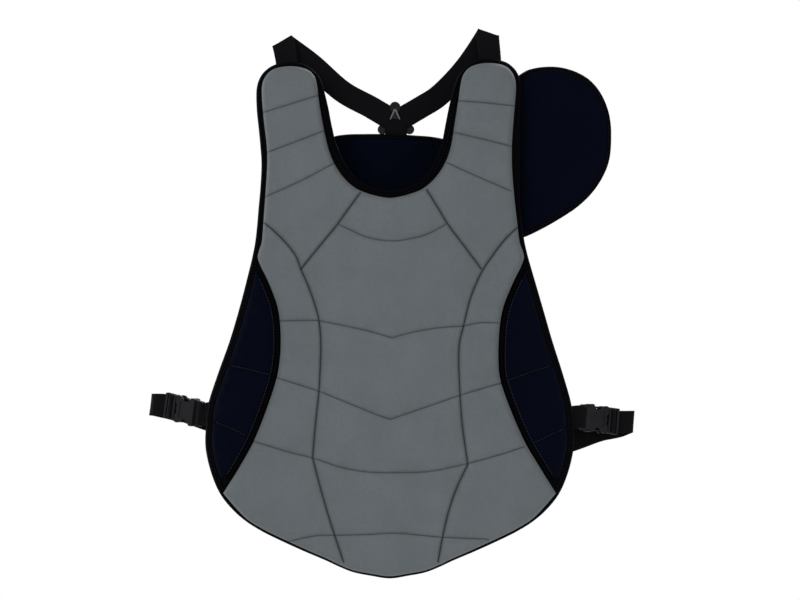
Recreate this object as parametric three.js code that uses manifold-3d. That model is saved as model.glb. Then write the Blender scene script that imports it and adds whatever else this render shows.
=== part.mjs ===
// A catcher's chest protector: a bowed foam vest with a moulded front shell, a folding shoulder
// flap, a rear harness with a padded back plate, and waist straps with side-release buckles.
// Millimetres. +X is to the right as seen from the front, the front faces -Y, +Z is up.
// The origin is on the wearer's face of the vest, level with the lowest point of the neckline.
import * as THREE from "three";
import { mergeVertices } from "three/addons/utils/BufferGeometryUtils.js";
import Module from "manifold-3d";

const wasm = await Module();
wasm.setup();

// ---------- driving dimensions ----------
const GAP = 0.3; // clearance between pieces that touch

// The vest's wearer face is a surface y = restDepth(x, z), bowed round the chest.
const BOW_RADIUS = 450;
const SHOULDER_CURL = { from: 20, to: 142, depth: 14 };
const BELLY_CURL = { from: -250, to: -425, depth: 12 };
const VEST_GRID = { width: 460, low: -440, high: 160, columns: 12, rows: 12 };

// Layers of the vest, as depths in front of the wearer's face (negative is forward).
const LINER = [-3, 0];
const BASE = [-7.3, -3.3];
const BINDING = { front: -9, rear: 1.4, lap: 7, edge: 2 };
const SHELL = { front: -24, rear: -9.3, skin: 2.5 };
const SIDE_PAD = { front: -15, rear: -7.6, skin: 2.2, low: -316, high: -84 };
const PIPING = { front: -13, rear: -7.6, width: 5.4, low: -322, high: -82 };
const SIDE_INNER_X = 100;

// Webbing.
const WEB = 25; // width of every strap
const WEB_THICK = 2;
const THIN_WEB = { width: 24.6, thick: 1.6 };

// Rear harness.
const SWING_AXIS = { y: 36.5, z: 177.4 };
const RING = { x: 7, z: 68.5, halfBase: 15, height: 25.7, bar: 4, thick: 4, ear: 5 };
const PLATE = { front: 50, rear: 66, edge: 4, skin: 2.2, lining: 3.7, proud: 0.8 };
const HARNESS_Y = (PLATE.front + PLATE.rear) / 2;

// Shoulder flap, hinged on a vertical line behind the edge of one shoulder.
const FLAP = { x: 142, y: 36.2, turn: 17, thick: 12, edge: 5, skin: 2, lining: 2, proud: 0.4 };
const FLAP_STRIP = { from: 116, to: 140.5, low: -44, high: 90 };

// Side-release buckles. Each is built along its own X, from the edge of the vest outwards.
const BUCKLE = {
  rootY: 54.5,
  heading: 43, // degrees that the strap turns back from the X axis
  halfWidth: 15.5,
  halfThick: 4.5,
  pocketHalf: 2.7,
  webBar: [4, 8],
  webSlotEnd: 14,
  bodyStart: 14,
  pocketStart: 20,
  mouth: 42,
};
const MALE = {
  start: 44.5,
  end: 60.4,
  halfWidth: 14.5,
  halfThick: 3.6,
  slots: [
    [46.5, 50.2],
    [53.4, 57.4],
  ],
  slotHalf: 12.7,
  barHalf: 1.7,
  guide: [26, 45, 2, 1.8],
};
const SIDES = {
  left: {
    sign: -1, rootX: 204.3, rootZ: -247, tilt: 10,
    foldX: 265.4, foldZ: -236, joinZ: -242, sag: 22,
  },
  right: {
    sign: 1, rootX: 208.5, rootZ: -248.5, tilt: -6,
    foldX: 271, foldZ: -255, joinZ: -265, sag: 0,
  },
};
const STRAP_JOIN_X = 232; // where the waist strap's elastic run meets its buckle loop
const STRAP_JOIN_Y = 104;
const JOIN_GAP = 1; // half the slit between the two, which their slanting ends need

// ---------- materials ----------
function finish(hex, roughness, metalness = 0) {
  return new THREE.MeshStandardMaterial({ color: hex, roughness, metalness });
}
const GREY_CLOTH = finish(0x62676a, 0.85);
const NAVY_CLOTH = finish(0x080b14, 0.9);
const BLACK_TAPE = finish(0x050506, 0.8);
const BLACK_MESH = finish(0x0b0c0f, 0.95);
const WEBBING = finish(0x0f1013, 0.75);
const FOAM = finish(0x2b2d30, 0.95);
const PLASTIC = finish(0x1d1e21, 0.45);

// ---------- solids ----------
function solidOf(geometry) {
  const bare = geometry.clone();
  bare.deleteAttribute("normal");
  bare.deleteAttribute("uv");
  const merged = mergeVertices(bare, 1e-3);
  return new wasm.Manifold(
    new wasm.Mesh({
      numProp: 3,
      vertProperties: merged.attributes.position.array,
      triVerts: new Uint32Array(merged.index.array),
    }),
  );
}

function geometryOf(solid) {
  const { vertProperties, triVerts } = solid.getMesh();
  const geometry = new THREE.BufferGeometry();
  geometry.setAttribute("position", new THREE.BufferAttribute(vertProperties, 3));
  geometry.setIndex(new THREE.BufferAttribute(triVerts, 1));
  geometry.computeVertexNormals();
  return geometry;
}

function piece(name, solid, material) {
  const mesh = new THREE.Mesh(geometryOf(solid), material);
  mesh.name = name;
  return mesh;
}

function box(x, y, z) {
  const geometry = new THREE.BoxGeometry(x[1] - x[0], y[1] - y[0], z[1] - z[0]);
  geometry.translate((x[0] + x[1]) / 2, (y[0] + y[1]) / 2, (z[0] + z[1]) / 2);
  return solidOf(geometry);
}

// A prism along Y over an outline drawn in X and Z.
function prism(outline, near, far) {
  const shape = new THREE.Shape(outline);
  const geometry = new THREE.ExtrudeGeometry(shape, { depth: far - near, bevelEnabled: false });
  geometry.rotateX(Math.PI / 2); // shape Y becomes Z, and the extrusion runs towards -Y
  geometry.translate(0, far, 0);
  return solidOf(geometry);
}
const THROUGH = [-80, 160];
const throughPrism = (outline) => prism(outline, ...THROUGH);

// ---------- outlines ----------
const point = ([x, z]) => new THREE.Vector2(x, z);

// A smooth open line through the given points, with `share` steps between neighbours.
function smooth(points, share = 2) {
  const curve = new THREE.CatmullRomCurve3(
    points.map(([x, z]) => new THREE.Vector3(x, 0, z)),
    false,
    "centripetal",
  );
  return curve.getPoints((points.length - 1) * share).map((p) => new THREE.Vector2(p.x, p.z));
}

// A closed outline, counter-clockwise, from its right half, which runs from the top of the
// centre line down to its bottom.
function mirrored(half) {
  const left = half.slice(1, -1).map((p) => new THREE.Vector2(-p.x, p.y));
  return [...half, ...left.reverse()].reverse();
}

const flat3 = (p) => new THREE.Vector3(p.x, p.y, 0);

// Where the line through p along a meets the line through q along b.
function meeting(p, a, q, b) {
  const t = q.clone().sub(p).cross(b) / a.cross(b);
  return p.clone().addScaledVector(a, t);
}

// The outline moved inwards by a distance, or outwards by a negative one. Points that would
// land too near another edge are left out, and the edges beside them run on to a corner.
function inset(outline, distance) {
  const count = outline.length;
  const ahead = outline.map((p, i) => outline[(i + 1) % count].clone().sub(p).normalize());
  const edges = outline.map((p, i) => new THREE.Line3(flat3(outline.at(i - 1)), flat3(p)));
  const nearest = new THREE.Vector3();
  const clear = (p) =>
    edges.every((edge) => {
      edge.closestPointToPoint(flat3(p), true, nearest);
      return nearest.distanceTo(flat3(p)) > Math.abs(distance) - 0.05;
    });
  const moved = outline.map((p, i) => {
    const [a, b] = [ahead.at(i - 1), ahead[i]];
    const normal = new THREE.Vector2(-(a.y + b.y), a.x + b.x).normalize();
    const stretch = Math.max(0.5, -normal.x * a.y + normal.y * a.x);
    return p.clone().addScaledVector(normal, distance / stretch);
  });
  const kept = moved.map((p, i) => i).filter((i) => clear(moved[i]));
  return kept.flatMap((i, k) => {
    const next = kept[(k + 1) % kept.length];
    if (next === (i + 1) % count) return [moved[i]];
    return [moved[i], meeting(moved[i], ahead[i], moved[next], ahead.at(next - 1))];
  });
}

// Half outlines, as [x, z], from the neckline over the shoulder and down to the tip.
const VEST_HALF = [
  [0, 0], [9, 1], [30, 9.5], [44, 23], [54, 42], [59, 56], [67, 95], [75, 122], [82.5, 132],
  [96, 140.5], [113, 142], [129, 138.5], [141, 128], [146, 112], [143, 67], [141, 30],
  [144.5, -20], [148.6, -57], [156.6, -90], [178, -165], [200, -233], [203, -262], [202.7, -287],
  [187.5, -333], [159, -363.5], [120, -385], [70, -406.8], [40, -419.6], [0, -426.4],
];
const SHELL_SIDE = [
  [0, -7.7], [9, -6.6], [35, 1.7], [51, 15.5], [62, 33], [68, 50.5], [77, 102], [81, 124],
  [88, 132.5], [101, 137], [118, 137], [131, 132.5], [139, 121], [139.7, 103], [135, 50.5],
  [135, 23], [139.7, -34], [142.2, -57], [146.6, -73], [138, -93.5], [124.3, -127.6],
  [120, -165], [123.5, -208], [148, -273], [183.5, -333],
];
const SHELL_BOTTOM = [
  [183.5, -333], [157, -361.5], [118.5, -382.5], [69, -404.5], [40, -417.2], [0, -423.8],
];
const PLATE_HALF = [
  [0, 62.9], [30, 62.2], [60, 59], [74, 49.8], [80, 34.5], [78, -20], [70, -95], [60, -132],
  [42, -148], [0, -152],
];
const FLAP_ROUND = [
  [0.6, 126.5], [13, 134], [36, 138], [58, 135.8], [81.2, 125.8], [97, 109.3], [107.3, 84.6],
  [109.4, 58], [106.3, 31.8], [94.3, 7.7], [77.6, -11], [54.8, -27.2], [8.6, -50.6], [0.6, -51.4],
];

// The sewn vest is not quite symmetrical: it leans a little to the right or left round some
// levels, and its right shoulder is taller.
const VEST_LEAN = [
  { level: 82, reach: 70, by: -1.2 },
  { level: -140, reach: 120, by: 1.8 },
];
const SHELL_LEAN = [
  { level: 90, reach: 60, by: -1.1 },
  { level: -85, reach: 105, by: 1.5 },
  { level: -230, reach: 70, by: -1.8 },
];
const PLATE_TILT = 0.028; // the plate's upper edge rises to the left by this slope
const TALL_SHOULDER = { from: 92, to: 140, by: 3.6 };
function uneven(outline, leans) {
  const { from, to, by } = TALL_SHOULDER;
  return outline.map(({ x, y: z }) => {
    const lift = x > 0 ? by * THREE.MathUtils.smoothstep(z, from, to) : 0;
    const near = leans.filter(({ level, reach }) => Math.abs(z - level) < reach);
    const shifts = near.map((l) => l.by * Math.cos(((z - l.level) / l.reach) * (Math.PI / 2)) ** 2);
    return new THREE.Vector2(x + shifts.reduce((sum, one) => sum + one, 0), z + lift);
  });
}

const vestOutline = uneven(mirrored(smooth(VEST_HALF)), VEST_LEAN);
const shellHalf = [...smooth(SHELL_SIDE).slice(0, -1), ...smooth(SHELL_BOTTOM)];
const shellOutline = uneven(mirrored(shellHalf), SHELL_LEAN);
const plateOutline = mirrored(smooth(PLATE_HALF)).map(({ x, y: z }) => {
  const tilt = PLATE_TILT * THREE.MathUtils.smoothstep(z, 0, 50);
  return new THREE.Vector2(x, z - tilt * x);
});
const flapOutline = smooth(FLAP_ROUND).reverse();

// ---------- the bowed vest ----------
function ramp(z, { from, to, depth }) {
  const t = Math.max(0, (z - from) / (to - from));
  return depth * t * t;
}

function restDepth(x, z) {
  const bow = BOW_RADIUS - Math.sqrt(BOW_RADIUS ** 2 - x ** 2);
  return bow + ramp(z, SHOULDER_CURL) + ramp(z, BELLY_CURL);
}

// A slab between two depths in front of the wearer's face, wider than the vest.
function slab(front, rear) {
  const { width, low, high, columns, rows } = VEST_GRID;
  const geometry = new THREE.BoxGeometry(width, rear - front, high - low, columns, 1, rows);
  geometry.translate(0, (front + rear) / 2, (low + high) / 2);
  const at = geometry.attributes.position;
  for (let i = 0; i < at.count; i++) at.setY(i, at.getY(i) + restDepth(at.getX(i), at.getZ(i)));
  return solidOf(geometry);
}

const layer = (outline, front, rear) => slab(front, rear).intersect(throughPrism(outline));

function vestPieces() {
  const held = inset(vestOutline, BINDING.edge + GAP);
  const shell = layer(shellOutline, SHELL.front, SHELL.rear).subtract(
    layer(inset(shellOutline, SHELL.skin), SHELL.front + SHELL.skin, SHELL.rear + 5),
  );
  const core = layer(
    inset(shellOutline, SHELL.skin + GAP),
    SHELL.front + SHELL.skin + GAP,
    SHELL.rear,
  );
  const tape = layer(vestOutline, BINDING.front, BINDING.rear)
    .subtract(throughPrism(inset(vestOutline, BINDING.lap)))
    .subtract(layer(inset(vestOutline, BINDING.edge), BASE[0] - GAP, LINER[1] + GAP));
  return [
    piece("front_shell", shell, GREY_CLOTH),
    piece("foam_core", core, FOAM),
    piece("base_panel", layer(held, ...BASE), BLACK_TAPE),
    piece("mesh_liner", layer(held, ...LINER), BLACK_MESH),
    piece("edge_binding", tape, BLACK_TAPE),
  ];
}

// The black padded wing beside the waisted edge of the shell, with its foam and its piping.
function sidePieces(name, sign) {
  const beside = (low, high) =>
    box(sign > 0 ? [SIDE_INNER_X, 230] : [-230, -SIDE_INNER_X], THROUGH, [low, high]);
  const inside = (margin) => throughPrism(inset(vestOutline, BINDING.lap + GAP + margin));
  const shellGrown = (by) => throughPrism(inset(shellOutline, -by));
  const wing = (front, margin) =>
    slab(front, SIDE_PAD.rear)
      .intersect(inside(margin))
      .subtract(shellGrown(PIPING.width + 2 * GAP + margin))
      .intersect(beside(SIDE_PAD.low + 2 * margin, SIDE_PAD.high - 2 * margin));
  const { front, skin } = SIDE_PAD;
  const pocket = slab(front + skin, SIDE_PAD.rear + 5)
    .intersect(inside(skin))
    .subtract(shellGrown(PIPING.width + 2 * GAP + skin))
    .intersect(beside(SIDE_PAD.low + 2 * skin, SIDE_PAD.high - 2 * skin));
  const piping = slab(PIPING.front, PIPING.rear)
    .intersect(shellGrown(PIPING.width + GAP))
    .subtract(shellGrown(GAP))
    .intersect(inside(0))
    .intersect(beside(PIPING.low, PIPING.high));
  return [
    piece(`side_pad_${name}`, wing(front, 0).subtract(pocket), NAVY_CLOTH),
    piece(`side_foam_${name}`, wing(front + skin + GAP, skin + GAP), FOAM),
    piece(`side_piping_${name}`, piping, BLACK_TAPE),
  ];
}

// ---------- webbing ----------
const vector = ([x, y, z]) => new THREE.Vector3(x, y, z);

// A flat strap along a smooth path. `across` is the direction of its width, one for the whole
// strap or one for each point of the path.
function ribbon(points, across, width, thick, share = 2) {
  const path = new THREE.CatmullRomCurve3(points, false, "centripetal");
  const steps = (points.length - 1) * share;
  const directions = Array.isArray(across) ? across : points.map(() => across);
  const geometry = new THREE.BoxGeometry(steps, thick, width, steps, 1, 1);
  const at = geometry.attributes.position;
  for (let i = 0; i < at.count; i++) {
    const t = at.getX(i) / steps + 0.5;
    const along = path.getTangent(t);
    const span = t * (points.length - 1);
    const before = Math.min(Math.floor(span), points.length - 2);
    const side = directions[before].clone().lerp(directions[before + 1], span - before);
    side.addScaledVector(along, -side.dot(along)).normalize();
    const up = side.clone().cross(along);
    const p = path.getPoint(t).addScaledVector(up, at.getY(i)).addScaledVector(side, at.getZ(i));
    at.setXYZ(i, p.x, p.y, p.z);
  }
  return solidOf(geometry);
}

// ---------- shoulders ----------
// The end of each shoulder strap is sewn behind the shoulder, rises to a slanting fold and
// runs down behind to the ring.
const FOLDS = {
  left: { foot: -113.5, top: [-117.7, 164], across: [0.868, 0, 0.496] },
  right: { foot: 111, top: [108.4, 173.2], across: [0.944, 0, -0.33] },
};
const FACET_SAG = 1.2; // the most that the vest's flat facets stand behind its true surface
const TAB_REAR = BINDING.rear + GAP + FACET_SAG + WEB_THICK / 2;

function shoulderTab(name) {
  const { foot, top, across } = FOLDS[name];
  const slope = foot / Math.sqrt(BOW_RADIUS ** 2 - foot ** 2);
  const flat = new THREE.Vector3(1, slope, 0).normalize();
  const rise = [96, 112, 130, 143].map(
    (z) => new THREE.Vector3(foot, restDepth(foot, z) + TAB_REAR, z),
  );
  const fold = new THREE.Vector3(top[0], SWING_AXIS.y - 0.2 - WEB_THICK / 2, top[1]);
  const sides = [flat, flat, flat, flat, vector(across)];
  return piece(
    `shoulder_tab_${name}`,
    ribbon([...rise, fold], sides, WEB, WEB_THICK),
    WEBBING,
  );
}

// ---------- rear harness ----------
const ringCorner = (sign) => new THREE.Vector2(RING.x + sign * RING.halfBase, RING.z);
const ringApex = new THREE.Vector2(RING.x, RING.z + RING.height);

// The triangle round the ring's three bar centres, grown by a margin, with round corners.
function ringOutline(grow) {
  const corners = [ringCorner(-1), ringCorner(1), ringApex];
  const shape = [];
  corners.forEach((corner, i) => {
    const before = corners.at(i - 1);
    const after = corners[(i + 1) % corners.length];
    const start = Math.atan2(corner.y - before.y, corner.x - before.x) - Math.PI / 2;
    const turn = Math.atan2(after.y - corner.y, after.x - corner.x) - Math.PI / 2 - start;
    const sweep = ((turn % (2 * Math.PI)) + 2 * Math.PI) % (2 * Math.PI);
    for (let k = 0; k <= 4; k++) {
      const a = start + (sweep * k) / 4;
      shape.push(new THREE.Vector2(corner.x + grow * Math.cos(a), corner.y + grow * Math.sin(a)));
    }
  });
  return shape;
}

function ringHole(shrink) {
  return inset([ringCorner(-1), ringCorner(1), ringApex], shrink);
}

function ringSolid(margin) {
  const reach = RING.thick / 2 + margin;
  const body = prism(ringOutline(RING.bar / 2 + margin), HARNESS_Y - reach, HARNESS_Y + reach);
  const ears = [ringCorner(-1), ringCorner(1), ringApex].map((corner) => {
    const ear = new THREE.CylinderGeometry(RING.ear + margin, RING.ear + margin, 2 * reach, 16);
    ear.translate(corner.x, HARNESS_Y, corner.y);
    return solidOf(ear);
  });
  const hole = throughPrism(ringHole(RING.bar / 2 + margin));
  return ears.reduce((all, ear) => all.add(ear), body).subtract(hole);
}

// Webbing wrapped round a bar of the ring: a block along the bar, hollowed by the ring itself.
function barWrap(from, to, start, end) {
  const along = to.clone().sub(from).normalize();
  const half = RING.bar / 2 + GAP + THIN_WEB.thick;
  const geometry = new THREE.BoxGeometry(end - start, 2 * half, 2 * half);
  geometry.rotateY(-Math.atan2(along.y, along.x));
  const middle = from.clone().addScaledVector(along, (start + end) / 2);
  geometry.translate(middle.x, HARNESS_Y, middle.y);
  return solidOf(geometry);
}

const RUN_ENDS = { left: -1, right: 1 };
const RUN_MIDS = {
  left: [
    [-86.5, 43, 140.5],
    [-51.5, 51, 110],
  ],
  right: [
    [83.5, 43, 136],
    [53.5, 51, 105],
  ],
};

function shoulderStrap(name) {
  const sign = RUN_ENDS[name];
  const { top, across } = FOLDS[name];
  const ear = ringCorner(sign);
  const wrap = barWrap(ear, ringApex, 7.4, 20);
  const grip = ear.clone().lerp(ringApex, 0.46);
  const start = new THREE.Vector3(top[0], SWING_AXIS.y + 0.2 + WEB_THICK / 2, top[1]);
  const end = new THREE.Vector3(grip.x + sign * 3, HARNESS_Y, grip.y + 1);
  const bend = RUN_MIDS[name].map(vector);
  const run = [start, ...bend, end];
  const level = new THREE.Vector3(sign * -0.58, 0, 0.82);
  const sides = [vector(across).multiplyScalar(-sign), level, level, level];
  const body = ribbon(run, sides, WEB, WEB_THICK, 3);
  return piece(
    `shoulder_strap_${name}`,
    body.add(wrap).subtract(ringSolid(GAP)),
    WEBBING,
  );
}

// The web that joins the ring to the back plate.
function centreWebSolid(margin) {
  const wrap = barWrap(ringCorner(-1), ringCorner(1), 7.2 - margin, 22.8 + margin);
  const half = WEB_THICK / 2 + margin;
  const y = [HARNESS_Y - half, HARNESS_Y + half];
  const neck = box([RING.x - 7.8 - margin, RING.x + 7.8 + margin], y, [55, RING.z]);
  const tail = box(
    [RING.x - WEB / 2 - margin, RING.x + WEB / 2 + margin],
    y,
    [36 - margin, 61.9 + margin],
  );
  return wrap.add(neck).add(tail);
}

function waistRunSolid(side, margin) {
  const { sign, joinZ, sag } = SIDES[side];
  const path = [
    [sign * 46, HARNESS_Y, -98],
    [sign * 66, HARNESS_Y, -135],
    [sign * 84, HARNESS_Y + 5, -180 + sag / 4],
    [sign * 112, HARNESS_Y + 14, -246 + sag * 0.7],
    [sign * 148, HARNESS_Y + 24, -284 + sag],
    [sign * 190, HARNESS_Y + 35, joinZ - 14],
    [sign * (STRAP_JOIN_X - JOIN_GAP), STRAP_JOIN_Y - 0.3, joinZ],
  ].map(vector);
  const sides = path.map((p, i) => {
    const along = path[Math.min(i + 1, path.length - 1)].clone().sub(path[Math.max(i - 1, 0)]);
    return along.cross(new THREE.Vector3(0, 1, 0)).normalize().multiplyScalar(-sign);
  });
  const { width, thick } = THIN_WEB;
  return ribbon(path, sides, width + 2 * margin, thick + 2 * margin, 3);
}

function harnessPieces() {
  const { front, rear, edge, skin, lining, proud } = PLATE;
  const cuts = [centreWebSolid(GAP), waistRunSolid("left", GAP), waistRunSolid("right", GAP)];
  const cleared = (solid) => cuts.reduce((rest, cut) => rest.subtract(cut), solid);
  const liningFront = rear - lining;
  const tape = prism(plateOutline, front + proud, rear - proud).subtract(
    throughPrism(inset(plateOutline, edge)),
  );
  const cover = prism(inset(plateOutline, edge + GAP), front, liningFront - GAP).subtract(
    prism(inset(plateOutline, edge + GAP + skin), front + skin, liningFront + 1),
  );
  const foam = prism(
    inset(plateOutline, edge + 2 * GAP + skin),
    front + skin + GAP,
    liningFront - GAP,
  );
  const back = prism(inset(plateOutline, edge + GAP), liningFront, rear);
  return [
    shoulderStrap("left"),
    shoulderStrap("right"),
    piece("strap_ring", ringSolid(0), PLASTIC),
    piece("centre_web", centreWebSolid(0).subtract(ringSolid(GAP)), WEBBING),
    piece("back_plate_cover", cleared(cover), NAVY_CLOTH),
    piece("back_plate_foam", cleared(foam), FOAM),
    piece("back_plate_lining", back, BLACK_MESH),
    piece("back_plate_binding", cleared(tape), BLACK_TAPE),
    piece("waist_strap_left", waistRunSolid("left", 0), WEBBING),
    piece("waist_strap_right", waistRunSolid("right", 0), WEBBING),
  ];
}

// ---------- shoulder flap ----------
function flapStrip() {
  const middle = (FLAP_STRIP.from + FLAP_STRIP.to) / 2;
  const slope = middle / Math.sqrt(BOW_RADIUS ** 2 - middle ** 2);
  const path = [FLAP_STRIP.low, 0, 45, FLAP_STRIP.high].map(
    (z) => new THREE.Vector3(middle, restDepth(middle, z) + TAB_REAR, z),
  );
  const width = FLAP_STRIP.to - FLAP_STRIP.from;
  const across = new THREE.Vector3(1, slope, 0);
  return piece("flap_anchor_strip", ribbon(path, across, width, THIN_WEB.thick), WEBBING);
}

function flapGroup() {
  const { thick, edge, skin, lining, proud } = FLAP;
  const liningFront = thick - lining;
  const tape = prism(flapOutline, proud, thick - proud).subtract(
    throughPrism(inset(flapOutline, edge)),
  );
  const cover = prism(inset(flapOutline, edge + GAP), 0, liningFront - GAP).subtract(
    prism(inset(flapOutline, edge + GAP + skin), skin, liningFront + 1),
  );
  const foam = prism(
    inset(flapOutline, edge + 2 * GAP + skin),
    skin + GAP,
    liningFront - GAP,
  );
  const back = prism(inset(flapOutline, edge + GAP), liningFront, thick);
  const group = new THREE.Group();
  group.add(
    piece("flap_cover", cover, NAVY_CLOTH),
    piece("flap_foam", foam, FOAM),
    piece("flap_lining", back, BLACK_MESH),
    piece("flap_binding", tape, BLACK_TAPE),
  );
  group.position.set(FLAP.x, FLAP.y, 0);
  group.rotation.z = THREE.MathUtils.degToRad(FLAP.turn);
  return group;
}

// ---------- buckles ----------
function femaleSolid() {
  const { halfWidth, halfThick, pocketHalf, webBar, webSlotEnd, bodyStart, mouth } = BUCKLE;
  const wide = [-halfWidth, halfWidth];
  const frame = box([webBar[0], webSlotEnd + 1], [-2.2, 2.2], wide).subtract(
    box([webBar[1], webSlotEnd], [-9, 9], [-WEB / 2 - 0.6, WEB / 2 + 0.6]),
  );
  const body = box([bodyStart, mouth], [-halfThick, halfThick], wide).subtract(
    box([BUCKLE.pocketStart, mouth + 1], [-pocketHalf, pocketHalf], [-20, 20]),
  );
  const bridge = box([webSlotEnd - 0.5, bodyStart + 1], [-2.2, 2.2], wide);
  return frame.add(body).add(bridge);
}

function maleSolid() {
  const { start, end, halfWidth, halfThick, slots, slotHalf, barHalf, guide } = MALE;
  const wide = [-halfWidth, halfWidth];
  let body = box([start, slots[0][0]], [-halfThick, halfThick], wide)
    .add(box([start, end], [-barHalf, barHalf], wide))
    .add(box([guide[0], guide[1]], [-guide[3], guide[3]], [-guide[2], guide[2]]));
  for (const slot of slots) body = body.subtract(box(slot, [-9, 9], [-slotHalf, slotHalf]));
  return body;
}

// A springy arm with its press button, drawn for the upper side.
const ARM_OUTLINE = [
  [44.1, 9.6], [44.1, 11.2], [42, 12.3], [36.5, 11.8], [34.5, 15.2], [27, 15.2], [24, 12],
  [23.5, 8.4], [27, 7.6], [36, 8.4], [42, 8.6],
];
const ARM_HALF_THICK = 2.2;
function armSolid(sign) {
  const outline = ARM_OUTLINE.map(([x, z]) => point([x, sign * z]));
  return prism(sign > 0 ? outline : outline.reverse(), -ARM_HALF_THICK, ARM_HALF_THICK);
}

function buckleGroup(side) {
  const { sign, rootX, rootZ, tilt, foldX, foldZ, joinZ } = SIDES[side];
  const heading = sign > 0 ? BUCKLE.heading : 180 - BUCKLE.heading;
  const group = new THREE.Group();
  group.position.set(sign * rootX, BUCKLE.rootY, rootZ);
  const radians = THREE.MathUtils.degToRad;
  group.rotation.set(0, radians(-tilt), radians(heading), "ZYX");
  group.updateMatrixWorld(true);
  const local = (p) => group.worldToLocal(vector(p));
  const upright = new THREE.Vector3(0, 0, 1).applyQuaternion(group.quaternion.clone().invert());
  const square = new THREE.Vector3(0, 0, 1);
  const rear = sign; // local Y points to the rear on the right buckle, to the front on the left

  const behindVest = [168, 184, 196.5].map((x) =>
    local([sign * x, restDepth(x, rootZ) + BINDING.rear + GAP + FACET_SAG + 1.5, rootZ]),
  );
  const tabPath = [...behindVest, new THREE.Vector3(2.4, 0, 0)];
  const eye = box([1.2, 10.8], [-5, 5], [-WEB / 2, WEB / 2]);
  const eyeHole = box(
    [BUCKLE.webBar[0] - GAP, BUCKLE.webBar[1] + GAP],
    [-2.5, 2.5],
    [-20, 20],
  );
  const tabSides = [upright, upright, upright, square];
  const tab = ribbon(tabPath, tabSides, WEB, 3, 3).add(eye).subtract(eyeHole);

  const ladder = [
    [36, 7], [43, 6.6], [46.6, 5.4], [48.3, 2.6], [48.7, -0.6], [49.7, -2.9], [51.8, -3.3],
    [54, -2.9], [55.2, -0.6], [55.7, 1.6], [57.2, 3.1], [60.5, 3.3],
  ].map(([x, y]) => new THREE.Vector3(x, y * rear, 0));
  const fold = [
    [foldX - 12, 101.5, foldZ],
    [foldX - 3, 107, foldZ],
    [foldX - 0.8, 111.5, foldZ],
    [foldX - 4.5, 115, foldZ - 0.5],
    [foldX - 16, 111.5, (foldZ + joinZ) / 2],
    [STRAP_JOIN_X + JOIN_GAP, STRAP_JOIN_Y + 0.3, joinZ],
  ].map(([x, y, z]) => local([sign * x, y, z]));
  const loopSides = [...ladder.map(() => square), ...fold.map(() => upright)];
  const loop = ribbon([...ladder, ...fold], loopSides, THIN_WEB.width, THIN_WEB.thick);

  group.add(
    piece(`waist_tab_${side}`, tab, WEBBING),
    piece(`buckle_${side}_socket`, femaleSolid(), PLASTIC),
    piece(`buckle_${side}_plug`, maleSolid(), PLASTIC),
    piece(`buckle_${side}_arm_upper`, armSolid(1), PLASTIC),
    piece(`buckle_${side}_arm_lower`, armSolid(-1), PLASTIC),
    piece(`waist_strap_loop_${side}`, loop, WEBBING),
  );
  return group;
}

// ---------- the whole ----------
const protector = new THREE.Group();
protector.add(
  ...vestPieces(),
  ...sidePieces("left", -1),
  ...sidePieces("right", 1),
  shoulderTab("left"),
  shoulderTab("right"),
  flapStrip(),
  flapGroup(),
  ...harnessPieces(),
  buckleGroup("left"),
  buckleGroup("right"),
);

export default protector;
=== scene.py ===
import math

import bmesh
import bpy
import numpy as np
from mathutils import Matrix, Vector
from mathutils.geometry import delaunay_2d_cdt


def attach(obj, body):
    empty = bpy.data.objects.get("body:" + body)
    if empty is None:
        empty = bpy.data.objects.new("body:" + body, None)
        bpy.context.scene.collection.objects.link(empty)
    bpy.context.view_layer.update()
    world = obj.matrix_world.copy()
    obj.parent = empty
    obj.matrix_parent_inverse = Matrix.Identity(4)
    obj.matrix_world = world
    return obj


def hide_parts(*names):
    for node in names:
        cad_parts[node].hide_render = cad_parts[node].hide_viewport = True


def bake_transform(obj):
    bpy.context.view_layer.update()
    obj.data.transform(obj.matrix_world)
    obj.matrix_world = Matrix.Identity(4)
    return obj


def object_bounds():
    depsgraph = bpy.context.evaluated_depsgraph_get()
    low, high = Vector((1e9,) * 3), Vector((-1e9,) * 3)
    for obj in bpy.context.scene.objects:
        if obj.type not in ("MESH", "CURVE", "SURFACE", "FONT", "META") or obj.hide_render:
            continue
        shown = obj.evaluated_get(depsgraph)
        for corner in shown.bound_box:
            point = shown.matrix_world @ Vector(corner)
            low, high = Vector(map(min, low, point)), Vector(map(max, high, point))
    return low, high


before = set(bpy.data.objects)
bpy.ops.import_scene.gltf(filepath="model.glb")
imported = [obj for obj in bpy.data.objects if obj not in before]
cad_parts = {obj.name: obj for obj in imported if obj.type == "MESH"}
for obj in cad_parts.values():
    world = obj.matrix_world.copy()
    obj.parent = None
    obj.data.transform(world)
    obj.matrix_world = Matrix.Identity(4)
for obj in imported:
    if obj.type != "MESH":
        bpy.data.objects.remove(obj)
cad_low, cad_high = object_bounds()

# A catcher's chest protector, made round its CAD frame. Shapes are worked out in millimetres and
# turned into metres where a mesh is made. +X is right as seen from the front, the front faces -Y.
MM = 0.001

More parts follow.
